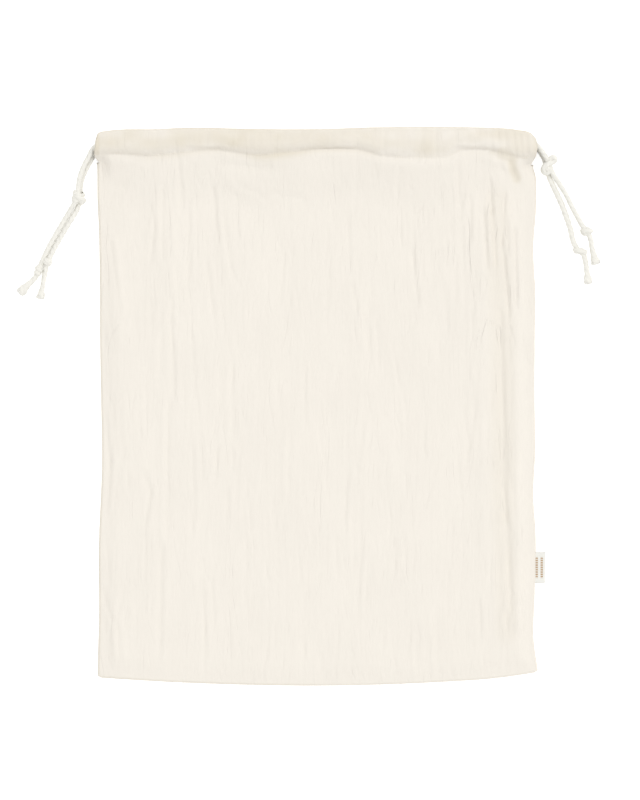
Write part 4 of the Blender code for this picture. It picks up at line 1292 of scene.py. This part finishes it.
def muslin_material(cloth):
    made, tree, shader = new_material("Muslin", roughness=0.92, sheen=0.12)
    weave = grouped(tree, "Gauze weave", {"Pitch": cloth.thread_pitch, "Unevenness": 2.5})
    # Painted shade: the muslin is made darker in the gaps between its threads
    gaps = calc(tree, "MULTIPLY", weave["Gaps"], 0.05)
    undyed = drifting(tree, cloth.colour, size=0.045, amount=0.05, dark=gaps)
    layers, gathered = (
        add_node(tree, "ShaderNodeAttribute", attribute_name=label).outputs["Fac"]
        for label in ("layers", "gathered")
    )
    # The tint, squared for each two layers, darkens where more cloth lies behind and where shade is painted
    # on
    doubled = (*(tint**2 for tint in cloth.doubled_and_shade_tint), 1)
    colour = mixed(tree, calc(tree, "MULTIPLY", layers, 0.5), undyed, doubled, "MULTIPLY")
    tree.links.new(colour, shader.inputs["Base Color"])
    streaks = grouped(tree, "Fibre streaks", {"Per Metre": (240, 30, 200), "Detail": 2.0})
    lines = grouped(tree, "Crinkle lines", {"Per Metre": (85, 15, 60), "Width": 0.075, "Broken": 0.5})
    drawn = calc(tree, "MULTIPLY", lines["Height"], gathered)
    crinkle = bump(tree, streaks["Height"], strength=1.0, depth=0.0005)
    pressed = bump(tree, drawn, strength=1.0, depth=0.00017, under=crinkle, invert=True)
    threads = bump(tree, weave["Height"], strength=0.5, depth=0.00012, under=pressed)
    tree.links.new(threads, shader.inputs["Normal"])
    return made


def ribbon_material(ribbon):
    made, tree, shader = new_material("Woven ribbon", roughness=0.6, sheen=0.05)
    apart = add_node(tree, "ShaderNodeSeparateXYZ", {0: places_on(tree)}).outputs
    column, pitch_across, bar_across, pitch_up, bar_up = (size * MM for size in RIBBON_BARS)
    across = calc(tree, "SUBTRACT", apart["X"], (RIBBON_SEAM + BAG_MIDDLE) * MM + column)
    up = calc(tree, "SUBTRACT", apart["Y"], (RIBBON_BOTTOM + RIBBON_TOP) / 2 * MM)
    barred = calc(tree, "LESS_THAN", calc(tree, "ABSOLUTE", up), RIBBON_BARRED * MM)
    for off, pitch, bar in ((across, pitch_across, bar_across), (up, pitch_up, bar_up)):
        on_bar = calc(tree, "LESS_THAN", calc(tree, "PINGPONG", off, pitch), bar / 2)
        barred = calc(tree, "MULTIPLY", barred, on_bar)
    weave = grouped(tree, "Gauze weave", {"Pitch": 0.0005, "Unevenness": 0.6})
    # Painted shade: the ribbon is made darker in the gaps between its threads
    gaps = calc(tree, "MULTIPLY", weave["Gaps"], 0.06)
    plain = drifting(tree, ribbon.colour, size=0.01, amount=0.05, dark=gaps)
    tree.links.new(mixed(tree, barred, plain, (*ribbon.stripe_colour, 1)), shader.inputs["Base Color"])
    threads = bump(tree, weave["Height"], strength=0.7, depth=0.00012)
    tree.links.new(threads, shader.inputs["Normal"])
    return made


def give(piece, material):
    piece.data.materials.clear()
    piece.data.materials.append(material)


# ---------------------------------------------------------------- operators


class BAG_OT_studio(bpy.types.Operator):
    """Sets the floor, the camera straight above and the soft lights"""

    bl_idname = "bag.studio"
    bl_label = "Studio"

    def execute(self, context):
        scene, studio = context.scene, context.scene.bag_studio
        scene.view_settings.view_transform = "Standard"
        scene.view_settings.look = "None"
        mesh = bmesh.new()
        bmesh.ops.create_grid(mesh, x_segments=8, y_segments=8, size=4.0)
        floor = object_from("studio_floor", mesh)
        material, _, shader = new_material("Studio floor", roughness=0.9)
        shader.inputs["Base Color"].default_value = (*studio.floor_colour, 1)
        shader.inputs["Emission Color"].default_value = (1, 1, 1, 1)
        shader.inputs["Emission Strength"].default_value = studio.floor_glow
        give(floor, material)
        lens = bpy.data.cameras.new("studio_camera")
        lens.sensor_fit = "VERTICAL"
        lens.sensor_height = 24
        lens.lens = lens.sensor_height * studio.camera_height / studio.view_height
        lens.clip_end = 20
        scene.camera = add_object("studio_camera", lens)
        scene.camera.location = (*CAMERA_OVER, studio.camera_height)
        low, high = CAD_BOX
        middle = Vector(((low[0] + high[0]) / 2, (low[1] + high[1]) / 2, 0))
        for name, strength, wide, place in SUNS:
            sun = bpy.data.lights.new(name, "SUN")
            sun.angle = math.radians(wide)
            sun.energy = getattr(studio, strength)
            light = add_object(name, sun)
            light.location = middle + Vector(place)
            light.rotation_euler = (-Vector(place)).to_track_quat("-Z", "Y").to_euler()
        scene.world = bpy.data.worlds.new("studio_world")
        scene.world.use_nodes = True
        back = scene.world.node_tree.nodes["Background"]
        back.inputs["Color"].default_value = (1, 1, 1, 1)
        back.inputs["Strength"].default_value = studio.fill
        return {"FINISHED"}


class BAG_OT_drawstrings(bpy.types.Operator):
    """Lays both twisted drawstrings, with their knots and frayed tips"""

    bl_idname = "bag.drawstrings"
    bl_label = "Drawstrings"

    def execute(self, context):
        cords = context.scene.bag_cords
        cotton = plain_material("Cotton cord", cords.colour, CORD_LOOK)
        left = make_drawstring(-1, LEFT_FRONT_END, LOWER_LANE, LEFT_BACK_END, LEFT_KNOTS, cords)
        right = make_drawstring(1, RIGHT_FRONT_END, UPPER_LANE, RIGHT_BACK_END, RIGHT_KNOTS, cords)
        # Frayed tips get the paler colour, painted light against the shade among their fibres
        fibres = plain_material("Cut fibres", cords.fibre_painted_light_colour, CORD_LOOK)
        for piece in left + right:
            give(piece, fibres if "fray" in piece.name else cotton)
        return {"FINISHED"}


class BAG_OT_panels(bpy.types.Operator):
    """Cuts the front and back panels and turns in their casings"""

    bl_idname = "bag.panels"
    bl_label = "Panels"

    def execute(self, context):
        cloth = context.scene.bag_cloth
        muslin = muslin_material(cloth)
        give(make_panel("front_muslin", "front_panel", True, cloth), muslin)
        give(make_panel("back_muslin", "back_panel", False, cloth), muslin)
        return {"FINISHED"}


class BAG_OT_sewing(bpy.types.Operator):
    """Sews down both casings"""

    bl_idname = "bag.sewing"
    bl_label = "Sewing"

    def execute(self, context):
        cloth = context.scene.bag_cloth
        thread = plain_material("Sewing thread", cloth.thread_colour, THREAD_LOOK)
        # Needle holes get the muslin's colour darkened, as painted shade
        shade = [part * share for part, share in zip(cloth.colour, HOLE_PAINTED_SHADE)]
        hole = plain_material("Needle holes", shade, HOLE_LOOK)
        for name, front in (("front_stitches", True), ("back_stitches", False)):
            stitches, holes = make_stitches(name, front, cloth)
            give(stitches, thread)
            give(holes, hole)
        return {"FINISHED"}


class BAG_OT_ribbon(bpy.types.Operator):
    """Folds the ribbon into the right side seam"""

    bl_idname = "bag.ribbon"
    bl_label = "Side ribbon"

    def execute(self, context):
        ribbon = context.scene.bag_ribbon
        give(make_ribbon(ribbon), ribbon_material(ribbon))
        return {"FINISHED"}


class BAG_PT_panel(bpy.types.Panel):
    """Lists the bag's pieces and their sizes"""

    bl_idname = "BAG_PT_panel"
    bl_label = "Muslin bag"
    bl_space_type = "VIEW_3D"
    bl_region_type = "UI"
    bl_category = "Muslin bag"

    def draw(self, context):
        for name, group, operators in GROUPS:
            box = self.layout.box()
            for key in group.__annotations__:
                box.prop(getattr(context.scene, name), key)
            for operator in operators:
                box.operator(operator.bl_idname)


# Settings on the scene, each group with the operators that use it
GROUPS = (
    ("bag_studio", BagStudio, (BAG_OT_studio,)),
    ("bag_cords", BagCords, (BAG_OT_drawstrings,)),
    ("bag_cloth", BagCloth, (BAG_OT_panels, BAG_OT_sewing)),
    ("bag_ribbon", BagRibbon, (BAG_OT_ribbon,)),
)


def register():
    for name, group, operators in GROUPS:
        bpy.utils.register_class(group)
        setattr(bpy.types.Scene, name, bpy.props.PointerProperty(type=group))
        for operator in operators:
            bpy.utils.register_class(operator)
    bpy.utils.register_class(BAG_PT_panel)


def unregister():
    bpy.utils.unregister_class(BAG_PT_panel)
    for name, group, operators in reversed(GROUPS):
        for operator in reversed(operators):
            bpy.utils.unregister_class(operator)
        delattr(bpy.types.Scene, name)
        bpy.utils.unregister_class(group)


def main():
    register()
    bpy.ops.bag.studio()
    bpy.ops.bag.drawstrings()
    bpy.ops.bag.panels()
    bpy.ops.bag.sewing()
    bpy.ops.bag.ribbon()


if __name__ == "__main__":
    main()
